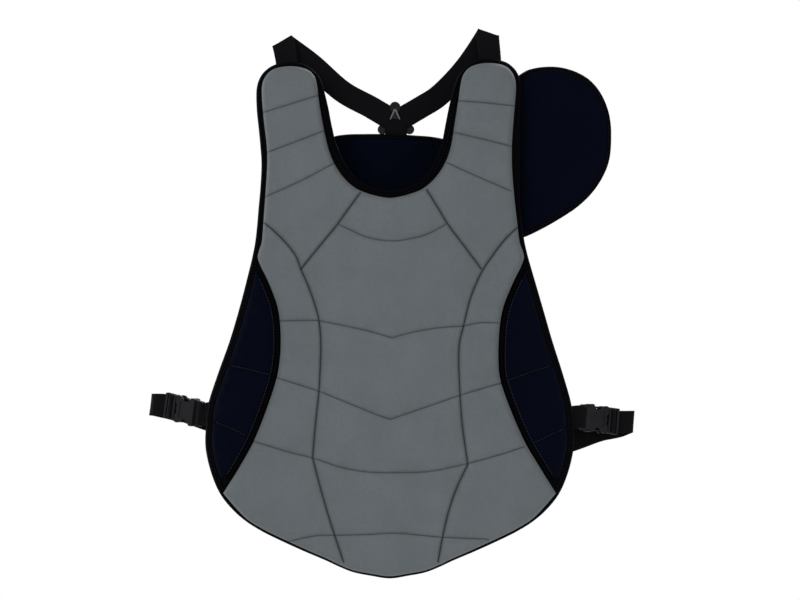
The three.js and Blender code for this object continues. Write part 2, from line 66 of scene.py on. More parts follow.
# ---------- the CAD's driving dimensions ----------
BOW_RADIUS = 450
SHOULDER_CURL = {"from": 20, "to": 142, "depth": 14}
BELLY_CURL = {"from": -250, "to": -425, "depth": 12}
LINER = (-3.0, 0.0)
BASE_REAR = -3.3
BINDING = {"rear": 1.4, "lap": 7.0}
SHELL_FRONT = -24.0
SIDE_FRONT = -15.0
PIPING = {"width": 5.4, "low": -318, "high": -84}
GAP = 0.3  # clearance between pieces that touch
FACET_SAG = 1.2  # how far the CAD's flat facets stand behind the vest's true surface
WEB = 25.0
WEB_THICK = 2.0
THIN_WEB = {"width": 24.6, "thick": 1.6}
SWING_Y = 36.5
RING = {"x": 7.0, "z": 68.5, "half_base": 15.0, "height": 25.7}
PLATE = {"front": 50.0, "rear": 66.0}
HARNESS_Y = (PLATE["front"] + PLATE["rear"]) / 2
FLAP = {"x": 142.0, "y": 36.2, "turn": 17.0, "thick": 12.0}
GUSSET = {"low": -44.0, "high": 118.0, "thick": 1.2}
BUCKLE_ROOT = {"y": 54.5, "heading": 43.0}
SIDES = {
    "left": {"sign": -1, "root_x": 204.3, "root_z": -247, "tilt": 10, "fold_x": 265.4, "fold_z": -236,
             "join_z": -242, "sag": 22, "droop": -2.7},
    "right": {"sign": 1, "root_x": 208.5, "root_z": -248.5, "tilt": -6, "fold_x": 271, "fold_z": -255,
              "join_z": -265, "sag": 0, "droop": 2},
}
STRAP_JOIN = {"x": 232.0, "y": 104.0}


# ---------- curves and outlines ----------
def catmull(points, at):
    """Points of a centripetal Catmull-Rom curve at positions counted in control points."""
    p = np.asarray(points, float)
    padded = np.vstack([2 * p[0] - p[1], p, 2 * p[-1] - p[-2]])
    at = np.clip(np.asarray(at, float), 0, len(p) - 1)
    i = np.minimum(at.astype(int), len(p) - 2)
    u = (at - i)[:, None]
    a, b, c, d = (padded[i + k] for k in range(4))
    step = [np.linalg.norm(q - r, axis=1)[:, None] ** 0.5 for q, r in ((b, a), (c, b), (d, c))]
    near, mid, far = (np.maximum(s, 1e-4) for s in step)
    leave = ((b - a) / near - (c - a) / (near + mid) + (c - b) / mid) * mid
    arrive = ((c - b) / mid - (d - b) / (mid + far) + (d - c) / far) * mid
    return b + u * (leave + u * ((3 * (c - b) - 2 * leave - arrive) + u * (2 * (b - c) + leave + arrive)))


def unit(vectors):
    return vectors / np.linalg.norm(vectors, axis=-1, keepdims=True)


def to_left(along):
    return np.stack([-along[:, 1], along[:, 0]], axis=1)


def crossed(a, b):
    return a[:, 0] * b[:, 1] - a[:, 1] * b[:, 0]


def area_of(outline):
    return float(crossed(outline, np.roll(outline, -1, 0)).sum() / 2)


def travelled(line):
    """How far along a line of points each one is."""
    return np.concatenate([[0], np.cumsum(np.linalg.norm(np.diff(line, axis=0), axis=1))])


def sampled(line, along, at):
    """A line's points at distances, where along gives the distances of its own points."""
    return np.stack([np.interp(at, along, line[:, k]) for k in range(line.shape[1])], axis=1)


def evenly(points, pitch, closed=False, count=None):
    """A smooth curve through the points, resampled at an even pitch or to a count."""
    p = np.asarray(points, float)
    per_point = 16
    if closed:
        p = np.vstack([p[-2:], p, p[:3]])
    fine = catmull(p, np.linspace(0, len(p) - 1, (len(p) - 1) * per_point + 1))
    if closed:
        fine = fine[2 * per_point : -2 * per_point]
    along = travelled(fine)
    count = count or max(2, round(along[-1] / pitch) + 1)
    even = sampled(fine, along, np.linspace(0, along[-1], count))
    return even[:-1] if closed else even


def smooth_outline(outline, pitch, corner_turn=38):
    """A closed outline through its vertices, smooth except where it turns sharply."""
    p = np.asarray(outline, float)
    before, after = p - np.roll(p, 1, 0), np.roll(p, -1, 0) - p
    turn = np.degrees(np.arctan2(crossed(before, after), (before * after).sum(1)))
    sharp = np.flatnonzero(np.abs(turn) > corner_turn)
    if not len(sharp):
        return evenly(p, pitch, closed=True)
    p = np.roll(p, -sharp[0], 0)
    sharp = [*(sharp - sharp[0]), len(p)]
    p = np.vstack([p, p[:1]])
    return np.vstack([evenly(p[a : b + 1], pitch)[:-1] for a, b in zip(sharp, sharp[1:])])


def front_outline(node, turn_back=None):
    """The outer edge of a CAD node's front-facing faces, in X and Z, without its straight-on points."""
    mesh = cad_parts[node].data
    points = np.array([v.co for v in mesh.vertices], float) / MM
    if turn_back is not None:
        points = turn_back(points)
    keys = {}
    merged = [keys.setdefault(tuple(p), len(keys)) for p in np.round(points, 2)]
    spots = np.array(list(keys), float)
    edges = {}
    for face in mesh.polygons:
        ring = [merged[i] for i in face.vertices]
        a, b, c = (spots[i] for i in ring[:3])
        normal = np.cross(b - a, c - a)
        if normal[1] > -0.3 * np.linalg.norm(normal):
            continue
        for i, j in zip(ring, ring[1:] + ring[:1]):
            if i != j:
                edges[(i, j)] = True
    border = {i: j for (i, j) in edges if (j, i) not in edges}
    loops = []
    while border:
        loop, at = [], next(iter(border))
        while at in border:
            loop.append(at)
            at = border.pop(at)
        loops.append(spots[loop][:, [0, 2]])
    loop = max(loops, key=lambda p: abs(area_of(p)))
    for _ in range(2):
        before, after = loop - np.roll(loop, 1, 0), np.roll(loop, -1, 0) - loop
        span = np.maximum(np.linalg.norm(before + after, axis=1), 1e-6)
        loop = loop[np.abs(crossed(before, after)) / span > 0.03]
    return loop if area_of(loop) > 0 else loop[::-1]


def distance_to(points, line, closed=True):
    """The distance from each point to a line of points."""
    a = np.asarray(line, float)
    b = np.roll(a, -1, 0) if closed else a[1:]
    a = a if closed else a[:-1]
    span = b - a
    size = np.maximum((span**2).sum(1), 1e-9)
    best = np.empty(len(points))
    batch = 1500  # keeps the arrays small
    for at in range(0, len(points), batch):
        p = points[at : at + batch, None, :]
        share = np.clip(((p - a) * span).sum(2) / size, 0, 1)
        gap = p - a - share[..., None] * span
        best[at : at + batch] = np.sqrt((gap**2).sum(2).min(1))
    return best


def inside(points, outline):
    """Which points lie inside a closed outline."""
    a, b = np.asarray(outline), np.roll(outline, -1, 0)
    x, z = points[:, 0][:, None], points[:, 1][:, None]
    crosses = (a[:, 1] > z) != (b[:, 1] > z)
    rise = np.where(np.abs(b[:, 1] - a[:, 1]) < 1e-9, 1e-9, b[:, 1] - a[:, 1])
    return (crosses & (x < a[:, 0] + (z - a[:, 1]) * (b[:, 0] - a[:, 0]) / rise)).sum(1) % 2 == 1


def inward(outline):
    """The inward normal at each point of a counter-clockwise outline."""
    return to_left(unit(np.roll(outline, -1, 0) - np.roll(outline, 1, 0)))


def inset(outline, distance):
    return outline + inward(outline) * distance


def beside(line, distance):
    """A line moved sideways, to its left for a positive distance."""
    return line + distance * to_left(unit(np.gradient(line, axis=0)))


def closed_up(line):
    return np.vstack([line, line[:1]])


def ramp(z, curl):
    t = np.maximum(0, (z - curl["from"]) / (curl["to"] - curl["from"]))
    return curl["depth"] * t * t


def rest_depth(x, z):
    """The wearer's face of the vest, bowed round the chest."""
    return BOW_RADIUS - np.sqrt(BOW_RADIUS**2 - x**2) + ramp(z, SHOULDER_CURL) + ramp(z, BELLY_CURL)


def flat_depth(x, _z):
    return np.zeros_like(x)


# ---------- meshes ----------
def mesh_object(name, points, faces, rest=None, painted_seam_shade=None):
    """A mesh object from points in millimetres. rest keeps each point's place on its flat cloth."""
    mesh = bpy.data.meshes.new(name)
    mesh.from_pydata((np.asarray(points) * MM).tolist(), [], [tuple(map(int, f)) for f in faces])
    mesh.validate()
    mesh.polygons.foreach_set("use_smooth", [True] * len(mesh.polygons))
    if rest is not None:
        where = mesh.attributes.new("rest", "FLOAT_VECTOR", "POINT")
        where.data.foreach_set("vector", (np.asarray(rest, np.float32) * MM).ravel())
    # How much painted shade each point gets in the seam creases.
    if painted_seam_shade is not None:
        deep = mesh.attributes.new("painted_seam_shade", "FLOAT", "POINT")
        deep.data.foreach_set("value", np.asarray(painted_seam_shade, np.float32))
    mesh.update()
    return linked(bpy.data.objects.new(name, mesh))


def linked(obj):
    bpy.context.scene.collection.objects.link(obj)
    return obj


def swept_faces(rings, sides, closed=False):
    """Faces round a row of rings of points, with a cap at each end of an open row."""
    faces = []
    for i in range(rings if closed else rings - 1):
        a, b = i * sides, (i + 1) % rings * sides
        faces += [[a + k, a + (k + 1) % sides, b + (k + 1) % sides, b + k] for k in range(sides)]
    if not closed:
        faces += [list(range(sides))[::-1], [(rings - 1) * sides + k for k in range(sides)]]
    return faces


def spaced_out(groups):
    """Points from several groups in order of rank, leaving out those too near one already kept.
    Each group is (points, least distance)."""
    kept, cells = [], {}
    for points, least in groups:
        reach = math.ceil(least)
        for x, z in points.tolist():
            i, j = math.floor(x), math.floor(z)
            around = (
                spot
                for a in range(i - reach, i + reach + 1)
                for b in range(j - reach, j + reach + 1)
                for spot in cells.get((a, b), ())
            )
            if not any((u - x) ** 2 + (v - z) ** 2 < least * least for u, v in around):
                kept.append((x, z))
                cells.setdefault((i, j), []).append((x, z))
    return np.array(kept)


def hex_fill(outline, pitch):
    low, high = outline.min(0), outline.max(0)
    rows = np.arange(low[1], high[1], pitch * math.sqrt(3) / 2)
    columns = np.arange(low[0], high[0], pitch)
    grid = np.array([(x + (k % 2) * pitch / 2, z) for k, z in enumerate(rows) for x in columns])
    return grid[inside(grid, outline)]


def triangulated(outline, points):
    """Triangles over a closed outline and the points inside it."""
    every = np.vstack([outline, points])
    count = len(outline)
    edges = [(i, (i + 1) % count) for i in range(count)]
    spots, _, faces, *_ = delaunay_2d_cdt([Vector(p) for p in every], edges, [], 1, 1e-5)
    return np.array([tuple(p) for p in spots]), np.array(faces, int)


# Rows of points this far in from a pad's edge, and this far to each side of a seam.
EDGE_ROWS = [0.06, 0.2, 0.5, 0.9, 1.5, 2.3, 3.4, 4.8, 6.5, 8.5]
SEAM_ROWS = [0.55, -0.55, 1.15, -1.15, 1.9, -1.9, 3.0, -3.0, 4.8, -4.8]
SEAM_PITCH = 1.9


def panel_points(outline, seams, pitch, edge_rows):
    """Points for a pad's face: rows along its edge and its seams, and an even fill."""
    lines = [evenly(seam["line"], SEAM_PITCH) for seam in seams]
    groups = [(line, 1.2) for line in lines]
    groups += [(inset(outline, row), max(0.05, min(row * 0.5, 1.2))) for row in edge_rows]
    groups += [(beside(line, offset), 0.45 + abs(offset) * 0.2) for offset in SEAM_ROWS for line in lines]
    groups.append((hex_fill(outline, pitch), pitch * 0.6))
    kept = spaced_out([(points[inside(points, outline)], least) for points, least in groups])
    return kept[distance_to(kept, outline) > edge_rows[0] * 0.8]


def groove_depth(points, seams):
    """How deep each point lies in the seams, in millimetres, and how much painted shade it gets there, from 0
    to 1.
    """
    depth, share = np.zeros(len(points)), np.zeros(len(points))
    for seam in seams:
        gap = distance_to(points, evenly(seam["line"], SEAM_PITCH), closed=False) / seam["half"]
        # A narrow crease in a wide, shallow valley.
        pressed = 0.72 * np.exp(-(gap**2)) + 0.28 / (1 + (gap / 3) ** 2) ** 2
        depth = np.maximum(depth, seam["deep"] * pressed)
        # Painted shade, darkest in the middle of the crease, where shade falls.
        share = np.maximum(share, seam["seam_shade"] * np.exp(-(gap**4)))
    return depth, share


def crowned(gap, roll, power=2.5):
    """The height share of a rolled edge at a distance in from it."""
    t = np.clip(gap / roll, 0, 1)
    return (1 - (1 - t) ** power) ** (1 / power)


# ---------- cloth ----------
CLOTH_FRAMES = 20
CLOTH = {
    "vertex_group_mass": "held", "quality": 5, "mass": 0.25, "tension_stiffness": 12,
    "compression_stiffness": 12, "shear_stiffness": 4, "bending_stiffness": 1.5, "use_pressure": True,
    "uniform_pressure_force": 4.0,
}


def settled_cloth(flat, faces, pins, slack):
    """Inflates a flat cloth that is held at its pins, and gives how far each of its points stands out."""
    cloth = mesh_object("cloth", flat, faces)
    cloth.vertex_groups.new(name="held").add(pins, 1.0, "REPLACE")
    sim = cloth.modifiers.new("Cloth", "CLOTH")
    for key, value in CLOTH.items():
        setattr(sim.settings, key, value)
    sim.settings.shrink_min = -slack
    sim.settings.effector_weights.gravity = 0
    sim.collision_settings.use_collision = False
    sim.point_cache.frame_start = 1
    sim.point_cache.frame_end = CLOTH_FRAMES
    for step in range(1, CLOTH_FRAMES + 1):
        bpy.context.scene.frame_set(step)
    evaluated = cloth.evaluated_get(bpy.context.evaluated_depsgraph_get())
    out = np.abs([v.co[1] for v in evaluated.data.vertices]) / MM
    bpy.context.scene.frame_set(1)
    mesh = cloth.data
    bpy.data.objects.remove(cloth)
    bpy.data.meshes.remove(mesh)
    return out


def blown(outline, seams, cap, slack=0.01, pitch=6.0):
    """Simulates the cloth face of a pad held at its edge and its seams, and swollen by pressure.
    Gives a function of points that says how far the cloth stands out there, at most cap."""
    low, high = outline.min(0) - pitch, outline.max(0) + pitch
    xs, zs = np.arange(low[0], high[0] + pitch, pitch), np.arange(low[1], high[1] + pitch, pitch)
    grid = np.array([(x, z) for z in zs for x in xs])
    wide = len(xs)
    within = inside(grid, outline)
    from_edge = distance_to(grid, outline)
    from_seams = [distance_to(grid, evenly(seam["line"], 3.0), closed=False) for seam in seams]
    held = (from_edge < pitch * 0.75) | ~within
    for gap in from_seams:
        held |= gap < pitch * 0.55
    corners = [j * wide + i for j in range(len(zs) - 1) for i in range(wide - 1)]
    quads = [[q, q + 1, q + wide + 1, q + wide] for q in corners]
    quads = [quad for quad in quads if any(within[quad])]
    used = sorted({q for quad in quads for q in quad})
    place = {q: k for k, q in enumerate(used)}
    flat = np.stack([grid[used, 0], np.zeros(len(used)), grid[used, 1]], axis=1)
    pins = [place[q] for q in used if held[q]]
    height = np.zeros(len(grid))
    height[used] = settled_cloth(flat, [[place[q] for q in quad] for quad in quads], pins, slack)
    height = cap * np.tanh(height / cap)
    field = height.reshape(len(zs), wide)

    def at(points):
        u = np.clip((points[:, 0] - xs[0]) / pitch, 0, wide - 1.001)
        v = np.clip((points[:, 1] - zs[0]) / pitch, 0, len(zs) - 1.001)
        i, j = u.astype(int), v.astype(int)
        s, t = (w * w * (3 - 2 * w) for w in (u - i, v - j))
        lower = field[j, i] * (1 - s) + field[j, i + 1] * s
        upper = field[j + 1, i] * (1 - s) + field[j + 1, i + 1] * s
        return lower * (1 - t) + upper * t

    return at


# ---------- pads ----------
PLAIN_BACK = {"pitch": 11.0, "margin": 4.0}


def face_height(points, outline, level, rim, facing, depth=rest_depth, seams=(), roll=6.0, power=2.5,
                puff=None, ripple=0.0):
    """How deep a pad's face lies at points, and how much painted seam shade each gets. It rises from the rim
    to its level over the roll, and the cloth stands out from there. facing is -1 in front and 1 behind."""
    x, z = points.T
    gap = distance_to(points, outline)
    sunk, share = groove_depth(points, seams)
    waves = ripple * np.sin(x * 0.31 + 1.3 * np.sin(z * 0.13)) * np.sin(z * 0.23 + 0.7)
    out = (waves - sunk) * crowned(gap, roll)
    if puff is not None:
        out += puff(points) * crowned(gap, roll * 2.2)
    return depth(x, z) + rim + (level - rim) * crowned(gap, roll, power) + facing * out, share


def pad(name, outline, front, back, depth=rest_depth, seams=(), pitch=4.0, roll=6.0, puff=None,
        back_roll=None, back_puff=None, back_seams=(), power=2.5, ripple=0.0, edge_rows=EDGE_ROWS):
    """A closed pad over an outline. Its front stands at depth + front, and its back at depth + back;
    either face may be crowned by the simulated cloth. Without a roll, the back is plain."""
    rim = back if back_roll is None else (front + back) / 2
    spots, faces = triangulated(outline, panel_points(outline, seams, pitch, edge_rows))
    y, share = face_height(spots, outline, front, rim, -1, depth, seams, roll, power, puff, ripple)
    if back_roll is None:
        behind = hex_fill(outline, PLAIN_BACK["pitch"])
        behind = behind[distance_to(behind, outline) > PLAIN_BACK["margin"]]
        back_spots, back_faces = triangulated(outline, behind)
        back_y, back_share = depth(*back_spots.T) + back, np.zeros(len(back_spots))
    else:
        behind = panel_points(outline, back_seams, pitch * 1.2, edge_rows)
        back_spots, back_faces = triangulated(outline, behind)
        back_y, back_share = face_height(
            back_spots, outline, back, rim, 1, depth, back_seams, back_roll, power, back_puff
        )
    # The two faces share the outline's own points, which come first in both.
    count = len(outline)
    place = np.concatenate([np.arange(count), len(spots) + np.arange(len(back_spots) - count)])
    points = np.vstack([
        np.stack([spots[:, 0], y, spots[:, 1]], axis=1),
        np.stack([back_spots[:, 0], back_y, back_spots[:, 1]], axis=1)[count:],
    ])
    # Each point's painted shade in the seams, front and back.
    painted_seam_shades = np.concatenate([share, back_share[count:]])
    every = [*faces.tolist(), *place[back_faces][:, ::-1].tolist()]
    return mesh_object(name, points, every, points * [1, 0, 1], painted_seam_shades)


# ---------- tapes, straps and stitches ----------
def tape(name, rail, profile, depth=rest_depth, closed=True, wave=0.12):
    """A tape swept along a rail in X and Z. Each profile point is (distance in, depth offset)."""
    count, sides = len(rail), len(profile)
    travel = travelled(rail)
    pucker = wave * (np.sin(travel * 1.57) + 0.6 * np.sin(travel * 0.41 + 1))
    points, rest = [], []
    for k, (across, offset) in enumerate(profile):
        x, z = (inset(rail, across) if closed else beside(rail, across)).T
        bump = pucker if 0.15 < k / sides < 0.4 else 0  # on the front side only
        points.append(np.stack([x, depth(x, z) + offset + bump, z], axis=1))
        rest.append(np.stack([np.full(count, across - offset), 0 * travel, travel], axis=1))
    points, rest = (np.stack(rows, axis=1).reshape(-1, 3) for rows in (points, rest))
    return mesh_object(name, points, swept_faces(count, sides, closed), rest)


def strap_section(width, thick, ribs=9):
    """The closed outline of a webbing's section, as (across, up), with soft edges."""
    half, deep = width / 2, thick / 2
    across = np.linspace(-half + deep, half - deep, ribs)
    crown = deep * (0.94 + 0.06 * np.cos(across / half * math.pi / 2))
    top = list(zip(across, crown))
    edge = [(math.cos(a), math.sin(a)) for a in np.radians([60, 25, -25, -60])]
    right = [(half - deep + deep * c, deep * s) for c, s in edge]
    below = [(x, -y) for x, y in reversed(top)]
    left = [(-x, -y) for x, y in right]
    return np.array([*top, *right, *below, *left])


STRAP_PITCH = 0.7
RIB = {"height": 0.13, "pitch": 2.2}


def strap(name, path, across, width=WEB, thick=WEB_THICK):
    """Webbing swept along a path in millimetres, with fine cross ribs. across gives its width direction
    at each point of the path. Returns the object, a function that gives (spot, up) at distances along
    and across it, and its length."""
    path, across = np.asarray(path, float), np.asarray(across, float)
    last = len(path) - 1
    fine = np.linspace(0, last, last * 24 + 1)
    travel = travelled(catmull(path, fine))
    steps = max(2, round(travel[-1] / STRAP_PITCH))
    where = np.linspace(0, travel[-1], steps + 1)
    at = np.interp(where, travel, fine)
    middle = catmull(path, at)
    ahead = unit(np.gradient(middle, axis=0))
    i = np.minimum(at.astype(int), last - 1)
    u = (at - i)[:, None]
    side = across[i] * (1 - u) + across[i + 1] * u
    side = unit(side - (side * ahead).sum(1)[:, None] * ahead)
    up = np.cross(side, ahead)
    section = strap_section(width, thick)
    ridge = 1 + RIB["height"] * (np.abs(np.sin(where * math.pi / RIB["pitch"])) - 0.6) / (thick / 2)
    points = (
        middle[:, None]
        + side[:, None] * section[None, :, :1]
        + up[:, None] * (section[None, :, 1:] * ridge[:, None, None])
    )
    total = len(section)
    rest = np.stack([
        np.tile(section[:, 0], (len(where), 1)),
        np.zeros((len(where), total)),
        np.repeat(where[:, None], total, axis=1),
    ], axis=2)
    made = mesh_object(name, points.reshape(-1, 3), swept_faces(len(where), total), rest.reshape(-1, 3))

    def frame_at(distance, sideways):
        k = np.clip(distance / travel[-1] * steps, 0, steps)
        i = np.minimum(k.astype(int), steps - 1)
        u = (k - i)[:, None]
        mid, s, n = (row[i] * (1 - u) + row[i + 1] * u for row in (middle, side, up))
        return mid + s * sideways[:, None], n

    return made, frame_at, travel[-1]


THREAD_RADIUS = 0.42
# Each ring of a stitch: how far along it is, its rise and its size.
STITCH_RINGS = [
    (-0.02, -0.9, 0.35), (0.12, 0.1, 0.85), (0.5, 0.42, 1.0), (0.88, 0.1, 0.85), (1.02, -0.9, 0.35)
]
STITCH_SIDES = 6


def stitches(name, starts, ends, ups):
    """Rows of thread stitches. Each is a small arched bar, sunk at both ends."""
    ahead = ends - starts
    length = np.linalg.norm(ahead, axis=1)[:, None]
    ahead = ahead / np.maximum(length, 1e-6)
    ups = unit(ups - (ups * ahead).sum(1)[:, None] * ahead)
    side = np.cross(ahead, ups)
    turn = [2 * math.pi * k / STITCH_SIDES for k in range(STITCH_SIDES)]
    points = []
    for share, rise, size in STITCH_RINGS:
        centre = starts + ahead * length * share + ups * THREAD_RADIUS * rise
        for a in turn:
            points.append(centre + (side * math.cos(a) + ups * math.sin(a)) * THREAD_RADIUS * size)
    points = np.stack(points, axis=1)
    single = swept_faces(len(STITCH_RINGS), STITCH_SIDES)
    per = len(STITCH_RINGS) * STITCH_SIDES
    faces = [[i * per + v for v in face] for i in range(len(starts)) for face in single]
    rest = [[k, 0, share * 3] for share, *_ in STITCH_RINGS for k in range(STITCH_SIDES)]
    return mesh_object(name, points.reshape(-1, 3), faces, np.tile(rest, (len(starts), 1)))


def stitch_ends(line, pitch=3.6, length=2.6):
    """The starts and ends of stitches along an open line of points."""
    line = np.asarray(line, float)
    along = travelled(line)
    first = np.arange(pitch / 2, along[-1] - length, pitch)
    return sampled(line, along, first), sampled(line, along, first + length)


def sewn_on(name, lines, height, lift=0.0, facing=-1):
    """Stitches along lines in X and Z that lie on a surface y = height(points)."""
    every = [[], [], []]
    step = 0.5
    for line in lines:
        a, b = stitch_ends(line)
        if not len(a):
            continue
        middle = (a + b) / 2
        ways = ([step, 0], [0, step])
        slopes = [(height(middle + way) - height(middle - way)) / (2 * step) for way in ways]
        up = facing * unit(np.stack([-slopes[0], np.ones(len(a)), -slopes[1]], axis=1))
        ends = [np.stack([p[:, 0], height(p), p[:, 1]], axis=1) + up * lift for p in (a, b)]
        for store, value in zip(every, (*ends, up)):
            store.append(value)
    return stitches(name, *(np.vstack(v) for v in every))


def sewn_both(name, body, line, front, rear, depth=flat_depth, to=None):
    """Stitches through a piece along a line, seen on its front and its rear."""
    for face, y, facing in (("front", front, -1), ("rear", rear, 1)):
        sewn = sewn_on(f"{name}_stitches_{face}", [line], lambda p: depth(*p.T) + y, facing=facing)
        finished(sewn, body, BLACK_THREAD, to=to)


def sewn_along(name, frame_at, lines, thick, faces=(1,), **sizes):
    """Stitches on a strap, along lines of (distance, sideways) corners."""
    every = [[], [], []]
    for corners in lines:
        ends = stitch_ends(corners, **sizes)
        for face in faces:
            (start, up), (end, _) = (frame_at(*spots.T) for spots in ends)
            lift = up * face * (thick / 2 + 0.05)
            for store, value in zip(every, (start + lift, end + lift, up * face)):
                store.append(value)
    return stitches(name, *(np.vstack(v) for v in every))


def box_stitch(near, far, half):
    """A sewn box with its two diagonals, as corners (distance, sideways)."""
    box = [(near, -half), (far, -half), (far, half), (near, half), (near, -half)]
    return [box, [(near, -half), (far, half)], [(near, half), (far, -half)]]


# ---------- hard parts ----------
def prism(name, outline, low, high):
    """A prism along Y over an outline in X and Z."""
    outline = np.asarray(outline, float)
    if area_of(outline) < 0:
        outline = outline[::-1]
    spots, faces = triangulated(outline, np.zeros((0, 2)))
    count = len(outline)
    front = np.stack([spots[:, 0], np.full(len(spots), low), spots[:, 1]], axis=1)
    back = front * [1, 0, 1] + [0, high, 0]
    walls = [[i, count + i, count + (i + 1) % count, (i + 1) % count] for i in range(count)]
    every = [*faces.tolist(), *(faces[:, ::-1] + count).tolist(), *walls]
    return mesh_object(name, np.vstack([front, back]), every)


def carved(name, adds, cuts=(), bevel=0.6, segments=3, place=None):
    """Joins some prisms, cuts others away, rounds the edges, and moves the result to its place."""
    body, *more = [prism(name if not k else "part", *spec) for k, spec in enumerate(adds)]
    tools = [(p, "UNION") for p in more] + [(prism("tool", *spec), "DIFFERENCE") for spec in cuts]
    for tool, operation in tools:
        boolean = body.modifiers.new("Boolean", "BOOLEAN")
        boolean.operation, boolean.solver, boolean.object = operation, "EXACT", tool
    soften = body.modifiers.new("Bevel", "BEVEL")
    soften.width, soften.segments, soften.limit_method = bevel * MM, segments, "ANGLE"
    soften.angle_limit = math.radians(35)
    soften.harden_normals = True
    bpy.context.view_layer.update()
    done = bpy.data.meshes.new_from_object(body.evaluated_get(bpy.context.evaluated_depsgraph_get()))
    for tool, _ in tools:
        bpy.data.objects.remove(tool)
    body.modifiers.clear()
    body.data = done
    if place is not None:
        done.transform(place)
    return body


def rounded(points, radius, steps=5):
    """A closed polygon with its corners rounded."""
    p = np.asarray(points, float)
    made = []
    for i, corner in enumerate(p):
        before, after = p[i - 1] - corner, p[(i + 1) % len(p)] - corner
        reach = min(radius, 0.45 * np.linalg.norm(before), 0.45 * np.linalg.norm(after))
        a, b = (corner + unit(way) * reach for way in (before, after))
        made += [(1 - t) ** 2 * a + 2 * t * (1 - t) * corner + t**2 * b for t in np.linspace(0, 1, steps)]
    return np.array(made)


def oblong(x, z, radius=0.0):
    corners = [(x[0], z[0]), (x[1], z[0]), (x[1], z[1]), (x[0], z[1])]
    return rounded(corners, radius) if radius else corners


def circle(count):
    turn = np.linspace(0, 2 * math.pi, count, endpoint=False)
    return np.cos(turn), np.sin(turn)


def finished(obj, body, material, replaces=(), to=None):
    """Turns a piece's faces outward, and gives it its finish and its body."""
    if to is not None:
        obj.data.transform(to)
    if not obj.data.has_custom_normals:  # a carved part already faces outward
        work = bmesh.new()
        work.from_mesh(obj.data)
        bmesh.ops.recalc_face_normals(work, faces=work.faces)
        work.to_mesh(obj.data)
        work.free()
    obj.data.materials.clear()
    obj.data.materials.append(material)
    if replaces:
        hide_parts(*replaces)
    if body:
        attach(obj, body)


# ---------- materials ----------
class Finish:
    """A procedural material, built node by node."""

    def __init__(self, name, source="rest"):
        self.material = bpy.data.materials.new(name)
        self.material.use_nodes = True
        self.tree = self.material.node_tree
        self.shader = self.tree.nodes["Principled BSDF"]
        if source == "rest":
            self.where = self.attribute("rest", "Vector")
        else:
            self.where = self.node("ShaderNodeTexCoord").outputs["Object"]

    def node(self, kind, **settings):
        made = self.tree.nodes.new(kind)
        for key, value in settings.items():
            setattr(made, key, value)
        return made

    def put(self, source, target):
        self.tree.links.new(source, target)

    def fill(self, sockets, values):
        """Gives each socket a number, a colour or a link."""
        for socket, value in zip(sockets, values):
            if isinstance(value, tuple):
                socket.default_value = (*value, 1.0)
            elif isinstance(value, (int, float)):
                socket.default_value = value
            else:
                self.put(value, socket)

    def attribute(self, name, output):
        return self.node("ShaderNodeAttribute", attribute_name=name).outputs[output]

    def math(self, operation, a, b=0.5):
        made = self.node("ShaderNodeMath", operation=operation)
        self.fill(made.inputs, (a, b))
        return made.outputs[0]

    def times(self, a, b):
        return self.math("MULTIPLY", a, b)

    def noise(self, scale, detail=2.0, rough=0.5):
        made = self.node("ShaderNodeTexNoise")
        keys = ("Vector", "Scale", "Detail", "Roughness")
        self.fill([made.inputs[key] for key in keys], (self.where, scale, detail, rough))
        return made.outputs["Fac"]

    def bands(self, direction, pitch, distortion=0.0):
        """Waves along X, Y or Z with a pitch in metres."""
        kind = {"wave_type": "BANDS", "wave_profile": "SIN"}
        made = self.node("ShaderNodeTexWave", bands_direction=direction, **kind)
        keys = ("Vector", "Scale", "Distortion")
        self.fill([made.inputs[key] for key in keys], (self.where, 2 * math.pi / (20 * pitch), distortion))
        return made.outputs["Fac"]

    def mixed(self, factor, a, b):
        made = self.node("ShaderNodeMix", data_type="RGBA")
        self.fill([made.inputs[k] for k in (0, 6, 7)], (factor, a, b))
        return made.outputs[2]

    def spread(self, value, low=0.3, high=0.7, to_low=0.0, to_high=1.0):
        made = self.node("ShaderNodeMapRange")
        self.fill(made.inputs, (value, low, high, to_low, to_high))
        return made.outputs[0]

    def done(self, base, rough, specular, bump, relief, sheen=0.0):
        """Connects the shader. Its gloss and sheen are the same all over."""
        bumped = self.node("ShaderNodeBump")
        self.fill([bumped.inputs[key] for key in ("Strength", "Distance", "Height")], (1.0, relief, bump))
        keys = ("Base Color", "Roughness", "Normal", "Specular IOR Level", "Sheen Weight")
        values = (base, rough, bumped.outputs["Normal"], specular, sheen)
        self.fill([self.shader.inputs[key] for key in keys], values)
        return self.material


def shaded(colour, factor):
    return tuple(c * factor for c in colour)


def woven(name, colour, rough, pitch, relief, mottle=0.15, sheen=0.006, seam_shade=0.3, shine=0.04):
    """A plain weave with uneven yarn, soft mottling, and painted shade in the seam creases."""
    f = Finish(name)
    crossing = f.math("ABSOLUTE", f.math("SUBTRACT", f.bands("X", pitch), f.bands("Z", pitch)))
    yarn = f.noise(1 / (pitch * 2.6), 1.0)
    cloudy = f.spread(f.noise(26, 4.0, 0.62))
    streaks = f.spread(f.noise(240, 2.0), 0.35, 0.65)
    base = f.mixed(cloudy, shaded(colour, 1 - mottle), shaded(colour, 1 + mottle))
    base = f.mixed(f.times(streaks, 0.35), base, shaded(colour, 0.86))
    base = f.mixed(f.times(crossing, 0.22), base, shaded(colour, 0.6))
    # Painted shade: the cloth is darkened in the seam creases, where shade falls.
    base = f.mixed(f.times(f.attribute("painted_seam_shade", "Fac"), 0.97), base, shaded(colour, seam_shade))
    roughness = f.spread(yarn, to_low=rough - 0.06, to_high=rough + 0.06)
    f.shader.inputs["Sheen Roughness"].default_value = 0.45
    return f.done(base, roughness, shine, f.math("ADD", crossing, f.times(yarn, 0.6)), relief, sheen)


